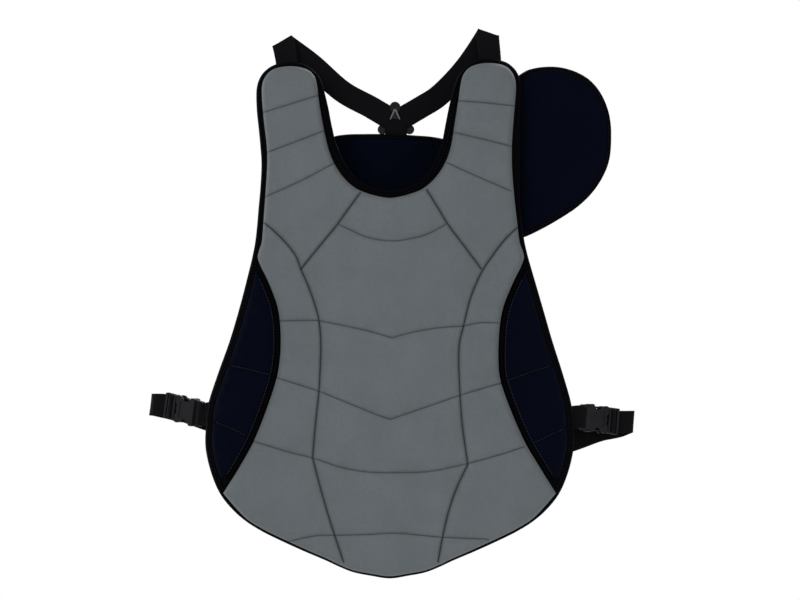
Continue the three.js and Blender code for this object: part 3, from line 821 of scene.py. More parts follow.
def ribbed(name, colour, rough, rib=0.0022, yarn=0.0009, relief=0.00025):
    """Webbing: ribs across the strap, crossed by fine warp yarns along it."""
    f = Finish(name)
    ribs, warps = f.bands("Z", rib, 0.3), f.bands("X", yarn, 0.2)
    weave = f.times(ribs, f.math("ADD", f.times(warps, 0.5), 0.5))
    fuzz = f.noise(900, 2.0)
    base = f.mixed(weave, shaded(colour, 0.4), shaded(colour, 1.9))
    base = f.mixed(f.spread(f.noise(60, 3.0)), base, shaded(colour, 0.8))
    roughness = f.spread(fuzz, to_low=rough - 0.08, to_high=rough + 0.08)
    return f.done(base, roughness, 0.05, f.math("ADD", weave, f.times(fuzz, 0.3)), relief, sheen=0.008)


def spacer_mesh(name, colour, hole=0.0032):
    """Knitted spacer mesh: rows of small round holes with a lighter knit between them."""
    f = Finish(name)
    cells = f.node("ShaderNodeTexVoronoi", feature="F1")
    f.fill([cells.inputs[key] for key in ("Vector", "Scale", "Randomness")], (f.where, 1 / hole, 0.12))
    knit = f.spread(cells.outputs["Distance"], 0.22, 0.42)
    base = f.mixed(knit, shaded(colour, 0.25), shaded(colour, 1.35))
    base = f.mixed(f.spread(f.noise(30, 3.0)), base, shaded(colour, 0.85))
    # Painted shade in the quilted seam creases.
    base = f.mixed(f.times(f.attribute("painted_seam_shade", "Fac"), 0.7), base, shaded(colour, 0.2))
    roughness = f.spread(f.noise(700, 1.0), to_low=0.7, to_high=0.95)
    return f.done(base, roughness, 0.1, knit, 0.0006, sheen=0.02)


def moulded(name, colour, rough):
    """Matte moulded plastic: fine spark texture, faint flow marks and rubbed, glossier high spots."""
    f = Finish(name, "object")
    grain, flow, rub = f.noise(2600, 2.0), f.noise(90, 3.0), f.noise(300, 4.0, 0.7)
    base = f.mixed(f.spread(flow), shaded(colour, 0.8), shaded(colour, 1.2))
    base = f.mixed(f.spread(rub, 0.62, 0.75), base, shaded(colour, 2.0))
    roughness = f.spread(rub, 0.35, 0.7, rough + 0.06, rough - 0.08)
    return f.done(base, roughness, 0.12, f.math("ADD", grain, f.times(flow, 0.4)), 0.00006)


def thread(name, colour):
    """Twisted sewing thread."""
    f = Finish(name)
    twist = f.bands("DIAGONAL", 0.0007)
    base = f.mixed(twist, shaded(colour, 0.6), shaded(colour, 1.3))
    return f.done(base, f.spread(f.noise(500, 1.0), to_low=0.6, to_high=0.8), 0.1, twist, 0.0001)


GREY_CLOTH = woven("grey_shell_cloth", (0.111, 0.127, 0.135), 0.82, 0.0009, 0.00016, 0.07, 0.05, 0.08, 0.2)
NAVY_CLOTH = woven("navy_pad_cloth", (0.0005, 0.0015, 0.0064), 0.88, 0.0011, 0.0002)
BLACK_CLOTH = woven("black_base_cloth", (0.0016, 0.0016, 0.0024), 0.9, 0.0011, 0.0002, seam_shade=0.4)
EDGE_TAPE = woven("black_edge_tape", (0.0006, 0.0006, 0.0014), 0.78, 0.0008, 0.00015, 0.15, 0.004, 0.5, 0.03)
WEBBING = ribbed("black_webbing", (0.0024, 0.0025, 0.0034), 0.66)
LINER_MESH = spacer_mesh("black_spacer_mesh", (0.019, 0.0195, 0.0225))
PLASTIC = moulded("black_buckle_plastic", (0.0066, 0.0069, 0.0082), 0.5)
# Light grey plastic, a painted highlight for light on the ring's inner edges.
PAINTED_HIGHLIGHT_PLASTIC = moulded("painted_highlight_ring_plastic", (0.12, 0.123, 0.13), 0.45)
BLACK_THREAD = thread("black_thread", (0.0045, 0.0045, 0.0055))
GREY_THREAD = thread("grey_thread", (0.026, 0.025, 0.026))


# ---------- seams ----------
# Half the crease's width and its depth in millimetres, and how much painted shade it lays on the cloth.
MAJOR = {"half": 1.05, "deep": 2.8, "seam_shade": 1.0}
MINOR = {"half": 0.85, "deep": 1.9, "seam_shade": 0.66}
SEWN = {"half": 1.5, "deep": 2.4, "seam_shade": 0.3}
QUILTED = {"half": 2.2, "deep": 1.9, "seam_shade": 0.5}


def seams(style, *lines):
    return [{"line": np.array(line, float), **style} for line in lines]


# The moulded channels of the front shell, in X and Z.
SHELL_SEAMS = seams(
    MAJOR,
    [(-32, -2), (-44.5, -19), (-57, -36.5), (-77.5, -61.5), (-97.5, -86)],
    [(41, 1), (52.5, -17.5), (64, -36.5), (82, -60.5), (101, -86)],
    [(-137.5, -35), (-126, -45), (-111.5, -60), (-102, -73.5), (-97.5, -86), (-88.5, -106.5), (-80, -132),
     (-77.5, -143), (-75.5, -167), (-77.5, -219), (-81.5, -257.5), (-84.5, -293.5)],
    [(-84.5, -293.5), (-75.5, -328), (-67, -357.5), (-60, -379.5), (-50.5, -408)],
    [(140, -40.5), (126.5, -54), (113, -71.5), (102, -88), (90, -115), (81.5, -147.5), (76.5, -170.5),
     (77.5, -223.5), (80, -257.5), (86, -300.5)],
    [(86, -300.5), (74.5, -325), (66, -348.5), (58.5, -379.5), (53.5, -407)],
) + seams(
    MINOR,
    [(-56.5, -36.5), (-41, -44), (-25, -51), (-9.5, -54), (6, -55), (20.5, -53), (36, -49.5), (49, -44),
     (62.5, -36.5)],
    [(-121, -143), (-98.5, -142.5), (-81, -142.5), (-58, -146.5), (-21.5, -154.5), (3, -161.5)],
    [(3, -161.5), (22.5, -156), (53.5, -150.5), (80, -148.5), (99.5, -145), (119.5, -145)],
    [(-124, -205.5), (-98.5, -213.5), (-81, -219), (-43.5, -234), (-7, -248.5), (1, -251)],
    [(1, -251), (11, -247.5), (44.5, -236), (76.5, -225), (99.5, -218), (124, -211)],
    [(-151, -275), (-109.5, -287.5), (-85, -293.5), (-50.5, -304.5), (-21.5, -309), (5.5, -309.5), (45, -308),
     (84, -300), (121.5, -290), (148, -281.5)],
    [(-111.5, -385.5), (-80, -379), (-60, -378.5), (-21.5, -377.5), (5.5, -376), (30.5, -378), (56.5, -380.5),
     (108, -383)],
    [(-138.5, 86.5), (-109.5, 95.5), (-77, 105.5)],
    [(-136, 42), (-102, 54.5), (-69.5, 67)],
    [(-137, -6.5), (-96.5, 11.5), (-58, 32)],
    [(76, 99), (105, 97), (138, 93.5)],
    [(71, 64.2), (104, 56.5), (134.5, 49)],
    [(61, 31.7), (98.5, 15), (133.5, 0)],
)
SIDE_SEAMS = {
    "left": seams(SEWN, [(-190, -189), (-154.5, -196.5), (-122, -204.5)],
                  [(-206, -249.5), (-176.5, -260.5), (-146, -275.5)]),
    "right": seams(SEWN, [(188, -189), (153.5, -200), (122, -211.8)],
                   [(203, -257.5), (174.5, -270), (148, -282.5)]),
}
LINER_SEAMS = seams(
    QUILTED,
    *([(sign * x, z) for x, z in ((104, 96), (100, 20), (96, -70), (78, -150), (80, -250), (100, -330),
                                  (96, -372))] for sign in (-1, 1)),
    [(-93, -80), (0, -100), (93, -80)],
    [(-79, -200), (0, -222), (79, -200)],
    [(-86, -300), (0, -322), (86, -300)],
)
PLATE_SEAMS = seams(SEWN, [(-84, -10), (0, -2), (84, -10)], [(-76, -70), (0, -64), (76, -70)])


# ---------- the vest ----------
PIN = 2.0  # the pitch of the points round an outline
vest_edge = smooth_outline(front_outline("edge_binding"), 2.4)
shell_edge = smooth_outline(front_outline("front_shell"), PIN)
held_edge = smooth_outline(front_outline("base_panel"), 3.0)

SEATED = -8.5  # where pads rest on the base cloth


def make_shell():
    puff = blown(shell_edge, SHELL_SEAMS, cap=3.4)
    front = SHELL_FRONT + 1.2
    made = pad("front_shell_pad", shell_edge, front, SEATED, seams=SHELL_SEAMS, roll=6.5, power=2.6,
               puff=puff)
    finished(made, "vest", GREY_CLOTH, ["front_shell", "foam_core"])


def make_side(name):
    """A side pad. Gives its outline and the height of its front, for the stitches."""
    outline = smooth_outline(front_outline(f"side_pad_{name}"), PIN)
    lines = SIDE_SEAMS[name]
    face = {"seams": lines, "roll": 5.0, "puff": blown(outline, lines, cap=4.5, slack=0.02, pitch=5.0)}
    front = SIDE_FRONT + 2.0
    made = pad(f"side_pad_{name}_cloth", outline, front, SEATED, pitch=3.4, ripple=0.12, **face)
    finished(made, "vest", NAVY_CLOTH, [f"side_pad_{name}", f"side_foam_{name}"])
    return outline, lambda p: face_height(p, outline, front, SEATED, -1, **face)[0]


def make_side_trim(name, sign, outline, height):
    """The piping between the shell and a side pad, and the pad's stitches."""
    half = PIPING["width"] / 2
    waist = half * 0.62
    bead = [(-half, -8.2), (-half + 0.1, -10.6), (-waist, -12.5), (0, -13.2), (waist, -12.5),
            (half - 0.1, -10.6), (half, -8.2), (half * 0.5, -7.8), (-half * 0.5, -7.8)]
    x, z = shell_edge.T
    run = shell_edge[(x * sign > 90) & (z > PIPING["low"]) & (z < PIPING["high"])]
    rail = evenly(run[np.argsort(run[:, 1])][::6], 2.0)
    rail = beside(rail, -sign * (half + GAP))
    rail = rail[distance_to(rail, vest_edge) > BINDING["lap"] + half]
    made = tape(f"side_piping_{name}_cord", rail, bead, closed=False, wave=0.0)
    finished(made, "vest", EDGE_TAPE, [f"side_piping_{name}"])
    lines = [*(evenly(seam["line"], 2.0) for seam in SIDE_SEAMS[name]), beside(rail, -sign * 4.6)]
    lines = [line[inside(line, outline) & (distance_to(line, outline) > 0.8)] for line in lines]
    finished(sewn_on(f"side_stitches_{name}", lines, height, 0.1), "vest", GREY_THREAD)


def make_base():
    made = pad("base_cloth", held_edge, -8.4, BASE_REAR, pitch=9.0, roll=1.5, edge_rows=[0.3, 1.0])
    finished(made, "vest", BLACK_CLOTH, ["base_panel"])


def make_liner():
    puff = blown(held_edge, LINER_SEAMS, cap=3.2, slack=0.015, pitch=8.0)
    made = pad("mesh_liner_pad", held_edge, *LINER, pitch=6.0, roll=2.0, back_roll=4.0, back_puff=puff,
               back_seams=LINER_SEAMS, edge_rows=[0.2, 0.8, 2.0, 4.0])
    finished(made, "vest", LINER_MESH, ["mesh_liner"])


# Sections of the folded tapes, as (distance in, depth offset).
BINDING_PROFILE = [
    (7.0, -8.3), (6.6, -9.0), (4.6, -9.5), (2.4, -9.3), (0.9, -8.3), (0.1, -6.4), (0.0, -4.0), (0.1, -1.4),
    (0.9, 0.7), (2.4, 1.7), (4.6, 1.9), (6.6, 1.5), (7.0, 0.8), (6.5, 0.3), (2.6, 0.3), (1.4, -1.4),
    (1.2, -4.0), (1.4, -6.4), (2.6, -7.9), (6.5, -8.1),
]
PLATE_PROFILE = [
    (5.0, 51.5), (4.0, 50.7), (2.3, 51.0), (0.8, 52.8), (0.1, 55.5), (0.1, 60.5), (0.8, 63.2), (2.3, 65.0),
    (4.0, 65.3), (5.0, 64.5), (4.4, 63.9), (1.7, 61.0), (1.4, 58.0), (1.7, 55.0), (4.4, 52.1),
]
FLAP_PROFILE = [
    (5.6, 1.2), (4.6, 0.4), (2.6, 0.6), (0.9, 2.0), (0.1, 4.4), (0.1, 7.6), (0.9, 10.0), (2.6, 11.4),
    (4.6, 11.6), (5.6, 10.8), (4.9, 10.2), (1.9, 8.4), (1.5, 6.0), (1.9, 3.6), (4.9, 1.8),
]


def make_binding():
    made = tape("edge_binding_tape", vest_edge, BINDING_PROFILE)
    finished(made, "vest", EDGE_TAPE, ["edge_binding"])
    sewn_both("edge_binding", "vest", closed_up(inset(vest_edge, 5.6)), -9.35, 1.75, rest_depth)


# ---------- shoulders ----------
TAB_REAR = BINDING["rear"] + GAP + FACET_SAG + WEB_THICK / 2
# How each shoulder strap runs from its foot over the fold, and the width directions there and after it.
FOLDS = {
    "left": {"foot": -113.5, "top": (-117.7, 164.0), "across": (0.868, 0.0, 0.496),
             "mids": [(-86.5, 43, 140.5), (-51.5, 51, 110)], "level": (0.58, 0.0, 0.82)},
    "right": {"foot": 111.0, "top": (108.4, 173.2), "across": (0.944, 0.0, -0.33),
              "mids": [(83.5, 43, 136), (53.5, 51, 105)], "level": (0.58, 0.0, -0.82)},
}
# Round the ring's bar and back: the distance out from it, and the depth behind the harness's middle.
RING_WRAP = [(24, -4.6), (9, -3.6), (1, -3.5), (-2.5, -2.2), (-3.4, 0), (-2.5, 2.2), (1, 3.5), (9, 2.6),
             (23, -1.9)]


def ring_points():
    x, z, half = RING["x"], RING["z"], RING["half_base"]
    return np.array([x - half, z]), np.array([x + half, z]), np.array([x, z + RING["height"]])


def make_shoulder_straps():
    left, right, apex = ring_points()
    for name, sign, ear in (("left", -1, left), ("right", 1, right)):
        fold = FOLDS[name]
        foot, (top_x, top_z) = fold["foot"], fold["top"]
        across, level = np.array(fold["across"]), np.array(fold["level"])
        flat = (1, foot / math.sqrt(BOW_RADIUS**2 - foot**2), 0)
        over = np.array([-across[2], across[0]]) * 1.5  # up past the fold, square to its line
        path = [(foot, rest_depth(foot, z) + TAB_REAR, z) for z in (94.0, 112.0, 130.0, 143.0)]
        path += [(top_x, SWING_Y - 1.4, top_z), (top_x + over[0], SWING_Y, top_z + over[1]),
                 (top_x, SWING_Y + 1.4, top_z), *fold["mids"]]
        sides = [flat] * 4 + [across] * 3 + [level] * 2
        grip = ear * 0.5 + apex * 0.5
        along = unit(apex - ear)
        away = np.array([along[1], -along[0]]) * sign
        bar = np.array([along[0], 0, along[1]])
        bar = bar if bar @ level > 0 else -bar
        for reach, y in RING_WRAP:
            x, z = grip + away * reach
            path.append((x, HARNESS_Y + y, z))
            sides.append(bar if reach < 20 else level)
        made, _, _ = strap(f"shoulder_strap_{name}_web", path, sides)
        finished(made, None, WEBBING, [f"shoulder_tab_{name}", f"shoulder_strap_{name}"])
        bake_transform(made)


# ---------- rear harness ----------
def make_ring():
    left, right, apex = ring_points()
    line = smooth_outline(rounded([left, right, apex], 5.0, 7), 1.0, corner_turn=80)
    across, deep = (2.1 * np.sign(w) * np.abs(w) ** 0.6 for w in circle(14))
    bar = tape("strap_ring_bar", line, list(zip(across, deep + HARNESS_Y)), depth=flat_depth, wave=0.0)
    finished(bar, "harness", PLASTIC, ["strap_ring"])
    proud = 6.4  # how far the top knob and the crest stand in front of the ring's middle
    knob = apex + [-1.0, -0.9]
    ears = (("left", left, 2.4, 5.3), ("right", right, 2.4, 5.3), ("top", knob, proud, 5.9))
    for name, spot, front, radius in ears:
        disc = spot + radius * np.stack(circle(28), axis=1)
        ear = carved(f"strap_ring_ear_{name}", [(disc, HARNESS_Y - front, HARNESS_Y + 2.4)], bevel=1.1)
        finished(ear, "harness", PLASTIC)
    middle = np.array([knob[0], RING["z"]])
    crest = [(-4.8, 11.6), (4.8, 11.6), (1.0, 22.5), (-1.0, 22.5)]
    # The ridge's light grey is a painted highlight along the ring's inner edges; the crest between them is
    # plain dark plastic.
    ridge = [(-5.9, 11.2), (-1.1, 22.6), (1.1, 22.6), (5.9, 11.2), (4.6, 11.0), (0, 20.8), (-4.6, 11.0)]
    raised = (("crest", crest, 0.5, 0.2, PLASTIC), ("ridge", ridge, -0.1, 0.3, PAINTED_HIGHLIGHT_PLASTIC))
    for name, shape, sunk, bevel, finish in raised:
        spec = (middle + shape, HARNESS_Y - proud + sunk, HARNESS_Y - 4.7)
        made = carved(f"strap_ring_{name}", [spec], bevel=bevel, segments=2)
        finished(made, "harness", finish)


def make_centre_web():
    # From the back plate's upper edge round the ring's base bar and back, as (height, depth).
    up = [(38, -1.1), (52, -1.1), (60, -1.8), (66, -3.4), (74, -3.7), (80.5, -3.4)]
    loop = [*up, (83.4, 0), *((z, -y) for z, y in up[::-1])]
    points = [(RING["x"], HARNESS_Y + y, z) for z, y in loop]
    made, at, _ = strap("centre_web_loop", points, [(1, 0, 0)] * len(points), width=24.5, thick=1.7)
    finished(made, "harness", WEBBING, ["centre_web"])
    rows = [[(distance, -9.5), (distance, 9.5)] for distance in (24, 26.4)]
    sewn = sewn_along("centre_web_stitches", at, rows, 1.7, faces=(-1,), pitch=3.0, length=2.2)
    finished(sewn, "harness", BLACK_THREAD)


def make_back_plate():
    edge = inset(smooth_outline(front_outline("back_plate_binding"), PIN), -0.6)
    outline = smooth_outline(inset(edge, 1.2), PIN)
    puff, rear_puff = (blown(outline, lines, cap=3.5, slack=0.02, pitch=6.0) for lines in ([], PLATE_SEAMS))
    made = pad("back_plate_pad", outline, PLATE["front"] + 1.5, PLATE["rear"] - 1.5, depth=flat_depth,
               pitch=4.5, roll=9.0, puff=puff, back_roll=9.0, back_puff=rear_puff, back_seams=PLATE_SEAMS,
               ripple=0.15)
    replaced = ["back_plate_cover", "back_plate_foam", "back_plate_lining"]
    finished(made, "harness", NAVY_CLOTH, replaced)
    binding = tape("back_plate_tape", edge, PLATE_PROFILE, depth=flat_depth)
    finished(binding, "harness", EDGE_TAPE, ["back_plate_binding"])
    sewn_both("back_plate", "harness", closed_up(inset(edge, 4.1)), 50.65, 65.35)


# ---------- shoulder flap ----------
FLAP_TURN = Matrix.Rotation(math.radians(FLAP["turn"]), 4, "Z")
FLAP_PLACE = Matrix.Translation(Vector((FLAP["x"], FLAP["y"], 0)) * MM) @ FLAP_TURN
HINGE_SIDE = 1.2  # the flap's straight inner edge has no tape


def in_flap(points):
    return (points - [FLAP["x"], FLAP["y"], 0]) @ np.array(FLAP_TURN.inverted().to_3x3()).T


def make_flap():
    edge = smooth_outline(front_outline("flap_binding", in_flap), PIN)
    outline = smooth_outline(inset(edge, 1.1), PIN)
    puff = blown(outline, [], cap=3.0, slack=0.02, pitch=5.5)
    made = pad("flap_pad", outline, 1.3, FLAP["thick"] - 1.3, depth=flat_depth, pitch=4.2, roll=8.0,
               puff=puff, back_roll=8.0, back_puff=puff, ripple=0.15)
    finished(made, "flap", NAVY_CLOTH, ["flap_cover", "flap_foam", "flap_lining"], to=FLAP_PLACE)
    curve = edge[edge[:, 0] > HINGE_SIDE]
    start = np.argmax(np.linalg.norm(curve - np.roll(curve, 1, 0), axis=1))
    curve = np.roll(curve, -start, 0)
    binding = tape("flap_tape", curve, FLAP_PROFILE, depth=flat_depth, closed=False)
    finished(binding, "flap", EDGE_TAPE, ["flap_binding"], to=FLAP_PLACE)
    sewn_both("flap", "flap", beside(curve, 4.5)[2:-2], 0.35, 11.65, to=FLAP_PLACE)


def make_flap_hinge():
    """The cloth gusset from behind the shoulder to the flap's inner edge."""
    heights = np.linspace(GUSSET["low"], GUSSET["high"], 28)
    sewn = [(118.0, 0.0), (127.0, 0.0), (135.0, 0.1), (140.5, 1.2)]
    free = [(143.2, 30.5), (144.0, 35.0), (143.6, 39.5), (142.6, 42.6), (143.5, 42.9)]
    across = 24
    points = []
    for z in heights:
        line = [(x, rest_depth(x, z) + TAB_REAR - GUSSET["thick"] / 2 + more) for x, more in sewn]
        line = evenly(line + free, None, count=across)
        loop = np.vstack([line, beside(line, GUSSET["thick"])[::-1]])
        points.append(np.column_stack([loop, np.full(len(loop), z)]))
    every = np.vstack(points)
    rest = np.stack([every[:, 0] + every[:, 1], 0 * every[:, 0], every[:, 2]], axis=1)
    made = mesh_object("flap_hinge_cloth", every, swept_faces(len(heights), 2 * across), rest)
    finished(made, None, EDGE_TAPE, ["flap_anchor_strip"])
    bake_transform(made)


# ---------- waist straps and buckles ----------
# Shapes in a buckle's own frame: X along it, outward from the vest, Y rearward and Z up.
WEB_LADDER = [(36, 7), (43, 6.6), (46.6, 5.4), (48.3, 2.6), (48.7, -0.6), (49.7, -2.9), (51.8, -3.3),
              (54, -2.9), (55.2, -0.6), (55.7, 1.6), (57.2, 3.1), (60.5, 3.3)]
BAR_WRAP = [(1.5, 2.0), (4.5, 3.3), (7.5, 3.3), (9.6, 1.9), (10.2, 0.0), (9.6, -1.9), (7.5, -3.3),
            (4.5, -3.3), (0.5, -1.6)]
SOCKET_SIDE = [(14, 15.5), (19.4, 15.5), (21.2, 11.6), (24, 10.3), (29.5, 10.3), (32.2, 12.4), (34.5, 14.8),
               (38.5, 15.3), (42, 14.6), (42, 7), (39.8, 5)]
ARM_OUTLINE = [(44.1, 9.3), (44.1, 11.6), (41, 12.7), (34, 12.6), (30.5, 13.7), (25, 13.7), (21.8, 12.6),
               (20.6, 10.4), (20.9, 8.0), (23.2, 8.0), (23.3, 10.6), (25.4, 12.1), (30, 12.1), (33.4, 10.8),
               (37, 9.9), (42, 9.1)]
UPRIGHT = np.array([0, 0, 1.0])


def buckle_place(side):
    spec = SIDES[side]
    heading = BUCKLE_ROOT["heading"] if spec["sign"] > 0 else 180 - BUCKLE_ROOT["heading"]
    root = Vector((spec["sign"] * spec["root_x"], BUCKLE_ROOT["y"], spec["root_z"])) * MM
    turn = Matrix.Rotation(math.radians(heading), 4, "Z")
    tilt = Matrix.Rotation(math.radians(-spec["tilt"]), 4, "Y")
    return Matrix.Translation(root) @ turn @ tilt


def placed(place, x, y, z=0.0):
    return np.array(place @ (Vector((x, y, z)) * MM)) / MM


def make_waist_strap(side):
    spec, place = SIDES[side], buckle_place(side)
    sign, join, sag, fold_x, fold_z = (spec[key] for key in ("sign", "join_z", "sag", "fold_x", "fold_z"))
    # The run and the buckle's loop meet here in one direction, and the loop overlaps by 1 mm.
    end = np.array([sign * STRAP_JOIN["x"], STRAP_JOIN["y"], join])
    before = np.array([sign * 190, HARNESS_Y + 35, join - 14])
    after = np.array([sign * (fold_x - 16), 111.5, (fold_z + join) / 2])
    through = 4 * unit(after - before)
    path = np.array([
        (sign * 46, HARNESS_Y, -98), (sign * 66, HARNESS_Y, -135), (sign * 84, HARNESS_Y + 5, -180 + sag / 4),
        (sign * 112, HARNESS_Y + 14, -246 + sag * 0.7), (sign * 148, HARNESS_Y + 24, -284 + sag),
        before, end - through, end,
    ])
    along = np.vstack([path[1] - path[0], path[2:] - path[:-2], path[-1] - path[-2]])
    sides = unit(-sign * np.cross(along, [0, 1, 0]))
    sides[-2:] = -UPRIGHT
    run, _, _ = strap(f"waist_strap_{side}_web", path, sides, **THIN_WEB)
    finished(run, None, WEBBING, [f"waist_strap_{side}"])
    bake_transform(run)

    square = np.array(place.to_3x3() @ Vector((0, 0, 1)))
    path = [
        *(placed(place, x, y * sign) for x, y in WEB_LADDER),
        (sign * (fold_x - 12), 101.5, fold_z), (sign * (fold_x - 3), 107, fold_z),
        (sign * (fold_x - 0.8), 111.5, fold_z), (sign * (fold_x - 4.5), 115, fold_z - 0.5),
        after, end + through, end - 0.25 * through,
    ]
    sides = [square] * (len(path) - 4)
    sides += [0.7 * square + 0.3 * UPRIGHT, 0.3 * square + 0.7 * UPRIGHT, UPRIGHT, UPRIGHT]
    loop, _, _ = strap(f"waist_strap_loop_{side}_web", path, sides, **THIN_WEB)
    finished(loop, None, WEBBING, [f"waist_strap_loop_{side}"])
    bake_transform(loop)


def placed_back(place, spot):
    return np.array(place.inverted() @ (Vector(spot) * MM)) / MM


def make_waist_tab(side):
    spec, place = SIDES[side], buckle_place(side)
    sign, height = spec["sign"], spec["root_z"]
    clearance = BINDING["rear"] + GAP + FACET_SAG + 1.5
    behind = [(sign * x, rest_depth(x, height) + clearance, height - spec["droop"] * share)
              for x, share in ((168.0, 1), (184.0, 1), (196.5, 0.7))]
    # From behind the vest round the socket's web bar, and back on itself.
    path = [*behind, *(placed(place, x, y * sign) for x, y in BAR_WRAP)]
    for spot, along, off in ((behind[2], 1, 2.2), (behind[1], 4, 1.9)):
        inner = placed_back(place, spot)
        path.append(placed(place, inner[0] + along, inner[1] - off * sign, inner[2]))
    square = np.array(place.to_3x3() @ Vector((0, 0, 1)))
    sides = [UPRIGHT] * 3 + [square] * len(BAR_WRAP) + [UPRIGHT] * 2
    made, at, length = strap(f"waist_tab_{side}_web", path, sides)
    finished(made, "vest", WEBBING, [f"waist_tab_{side}"])
    sewn = sewn_along(f"waist_tab_{side}_stitches", at, box_stitch(length - 20, length - 9, 9.5), WEB_THICK,
                      faces=(1, -1), pitch=2.6, length=1.9)
    finished(sewn, "vest", BLACK_THREAD)


def make_buckle(side):
    place = buckle_place(side)
    plate = rounded([(x, -z) for x, z in SOCKET_SIDE] + SOCKET_SIDE[::-1], 1.6, 4)
    panel = oblong((24, 36), (-9, 9), 2.5)
    web_frame = rounded([(3.4, -14), (14, -14.2), (18, -15.5), (18, 15.5), (14, 14.2), (3.4, 14)], 2.0, 5)
    # Each prism is an outline, and how far it reaches in Y.
    collar = oblong((13.6, 20), (-15.4, 15.4), 1.5)
    socket = carved(
        f"buckle_{side}_socket_shell",
        [(plate, 2.75, 4.5), (plate, -4.5, -2.75), (collar, -4.4, 4.4), (web_frame, -2.3, 2.3)],
        [(oblong((8, 13.8), (-13.1, 13.1), 1.0), -9, 9), (panel, -5, -4.05), (panel, 4.05, 5)],
        bevel=0.45,
        place=place,
    )
    finished(socket, "vest", PLASTIC, [f"buckle_{side}_socket"])
    body = [
        (oblong((44.5, 60.4), (-14.5, 14.5), 2.0), -1.75, 1.75),
        (oblong((43.9, 46.4), (-14.4, 14.4), 0.8), -3.6, 3.6),
        (oblong((57.6, 60.6), (-14.5, 14.5), 1.0), -2.3, 2.3), (oblong((26, 45), (-2, 2), 0.8), -1.8, 1.8),
    ]
    slots = [(oblong(x, (-12.7, 12.7), 0.8), -9, 9) for x in ((46.6, 50.2), (53.4, 57.4))]
    plug = carved(f"buckle_{side}_plug_body", body, slots, bevel=0.4, place=place)
    finished(plug, f"plug_{side}", PLASTIC, [f"buckle_{side}_plug"])
    for level, flip in (("upper", 1), ("lower", -1)):
        outline = rounded([(x, z * flip) for x, z in ARM_OUTLINE], 1.3, 4)
        rim = (13.3, 16) if flip > 0 else (-16, -13.3)
        grips = [(oblong((x, x + 0.7), rim), -3, 3) for x in (25.6, 27.3, 29.0)]
        name = f"buckle_{side}_arm_{level}"
        arm = carved(f"{name}_spring", [(outline, -2.2, 2.2)], grips, bevel=0.3, segments=2, place=place)
        finished(arm, f"arm_{side}_{level}", PLASTIC, [name])
    make_waist_tab(side)


# ---------- stage ----------
VIEW = {"x": 11.5, "z": -119.9, "width": 880.0, "lens": 500.0, "sensor": 36.0}
FLOOR = {"drop": 0.10, "clear": 0.5, "radius": 2.2, "sides": 64}  # metres; it fades out past clear


def make_camera():
    lens = bpy.data.cameras.new("camera")
    lens.lens, lens.sensor_width = VIEW["lens"], VIEW["sensor"]
    camera = linked(bpy.data.objects.new("camera", lens))
    away = VIEW["width"] / 2 / (VIEW["sensor"] / 2 / VIEW["lens"])
    camera.location = Vector((VIEW["x"], -away, VIEW["z"])) * MM
    camera.rotation_euler = (math.pi / 2, 0, 0)
    lens.clip_end = 100
    bpy.context.scene.camera = camera


def make_light(name, spot, size, power, target=(0.0, 0.0, -0.15)):
    lamp = bpy.data.lights.new(name, "AREA")
    lamp.shape, lamp.size, lamp.energy = "SQUARE", size, power
    made = linked(bpy.data.objects.new(name, lamp))
    made.location = spot
    made.rotation_euler = (Vector(target) - Vector(spot)).to_track_quat("-Z", "Y").to_euler()


def make_world():
    """A soft white surround, which the camera sees as plain white."""
    world = bpy.data.worlds.new("studio")
    bpy.context.scene.world = world
    world.use_nodes = True
    nodes, links = world.node_tree.nodes, world.node_tree.links
    light, seen = nodes["Background"], nodes.new("ShaderNodeBackground")
    for background, strength in ((light, 0.50), (seen, 1.0)):
        background.inputs["Color"].default_value = (1, 1, 1, 1)
        background.inputs["Strength"].default_value = strength
    path, mix = nodes.new("ShaderNodeLightPath"), nodes.new("ShaderNodeMixShader")
    for socket, source in zip(mix.inputs, (path.outputs["Is Camera Ray"], light.outputs[0], seen.outputs[0])):
        links.new(source, socket)
    links.new(mix.outputs[0], nodes["World Output"].inputs["Surface"])


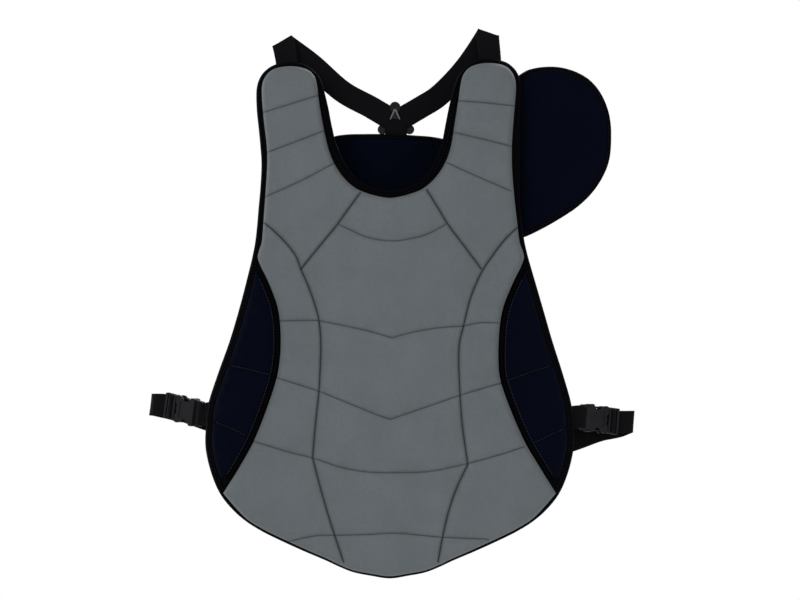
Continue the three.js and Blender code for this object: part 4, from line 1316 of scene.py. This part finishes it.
def make_floor():
    """A pale disc that fades into the surround at its rim."""
    low = cad_low[2] - FLOOR["drop"]
    ring = [(*spot, low) for spot in FLOOR["radius"] * np.stack(circle(FLOOR["sides"]), axis=1)]
    mesh = bpy.data.meshes.new("floor")
    mesh.from_pydata(ring, [], [list(range(len(ring)))])
    floor = linked(bpy.data.objects.new("floor", mesh))
    material = bpy.data.materials.new("pale_floor")
    material.use_nodes = True
    nodes, links = material.node_tree.nodes, material.node_tree.links
    shader = nodes["Principled BSDF"]
    shader.inputs["Base Color"].default_value = (0.86, 0.86, 0.86, 1)
    shader.inputs["Roughness"].default_value = 0.9
    shader.inputs["Specular IOR Level"].default_value = 0.1
    where, length = nodes.new("ShaderNodeTexCoord"), nodes.new("ShaderNodeVectorMath")
    length.operation = "LENGTH"
    fade = nodes.new("ShaderNodeMapRange")
    fade.interpolation_type = "SMOOTHSTEP"
    for socket, value in zip(list(fade.inputs)[1:5], (FLOOR["clear"], FLOOR["radius"] - 0.1, 0.0, 1.0)):
        socket.default_value = value
    clear, blend = nodes.new("ShaderNodeBsdfTransparent"), nodes.new("ShaderNodeMixShader")
    links.new(where.outputs["Object"], length.inputs[0])
    links.new(length.outputs["Value"], fade.inputs[0])
    for socket, source in zip(blend.inputs, (fade, shader, clear)):
        links.new(source.outputs[0], socket)
    links.new(blend.outputs[0], nodes["Material Output"].inputs["Surface"])
    mesh.materials.append(material)


make_camera()
bpy.context.scene.view_settings.view_transform = "Standard"
make_world()
make_light("key", (-1.3, -2.4, 1.2), 1.3, 44)
make_light("fill", (1.7, -2.2, 0.3), 1.6, 20)
make_light("back", (0.9, 2.2, 1.3), 1.4, 60)
make_light("back_fill", (-1.9, 1.7, 0.2), 1.6, 30)
make_floor()
make_shell()
side_faces = {side: make_side(side) for side in SIDES}
for side, face in side_faces.items():
    make_side_trim(side, SIDES[side]["sign"], *face)
make_base()
make_liner()
make_binding()
make_shoulder_straps()
make_ring()
make_centre_web()
make_back_plate()
make_flap()
make_flap_hinge()
for side in SIDES:
    make_buckle(side)
    make_waist_strap(side)
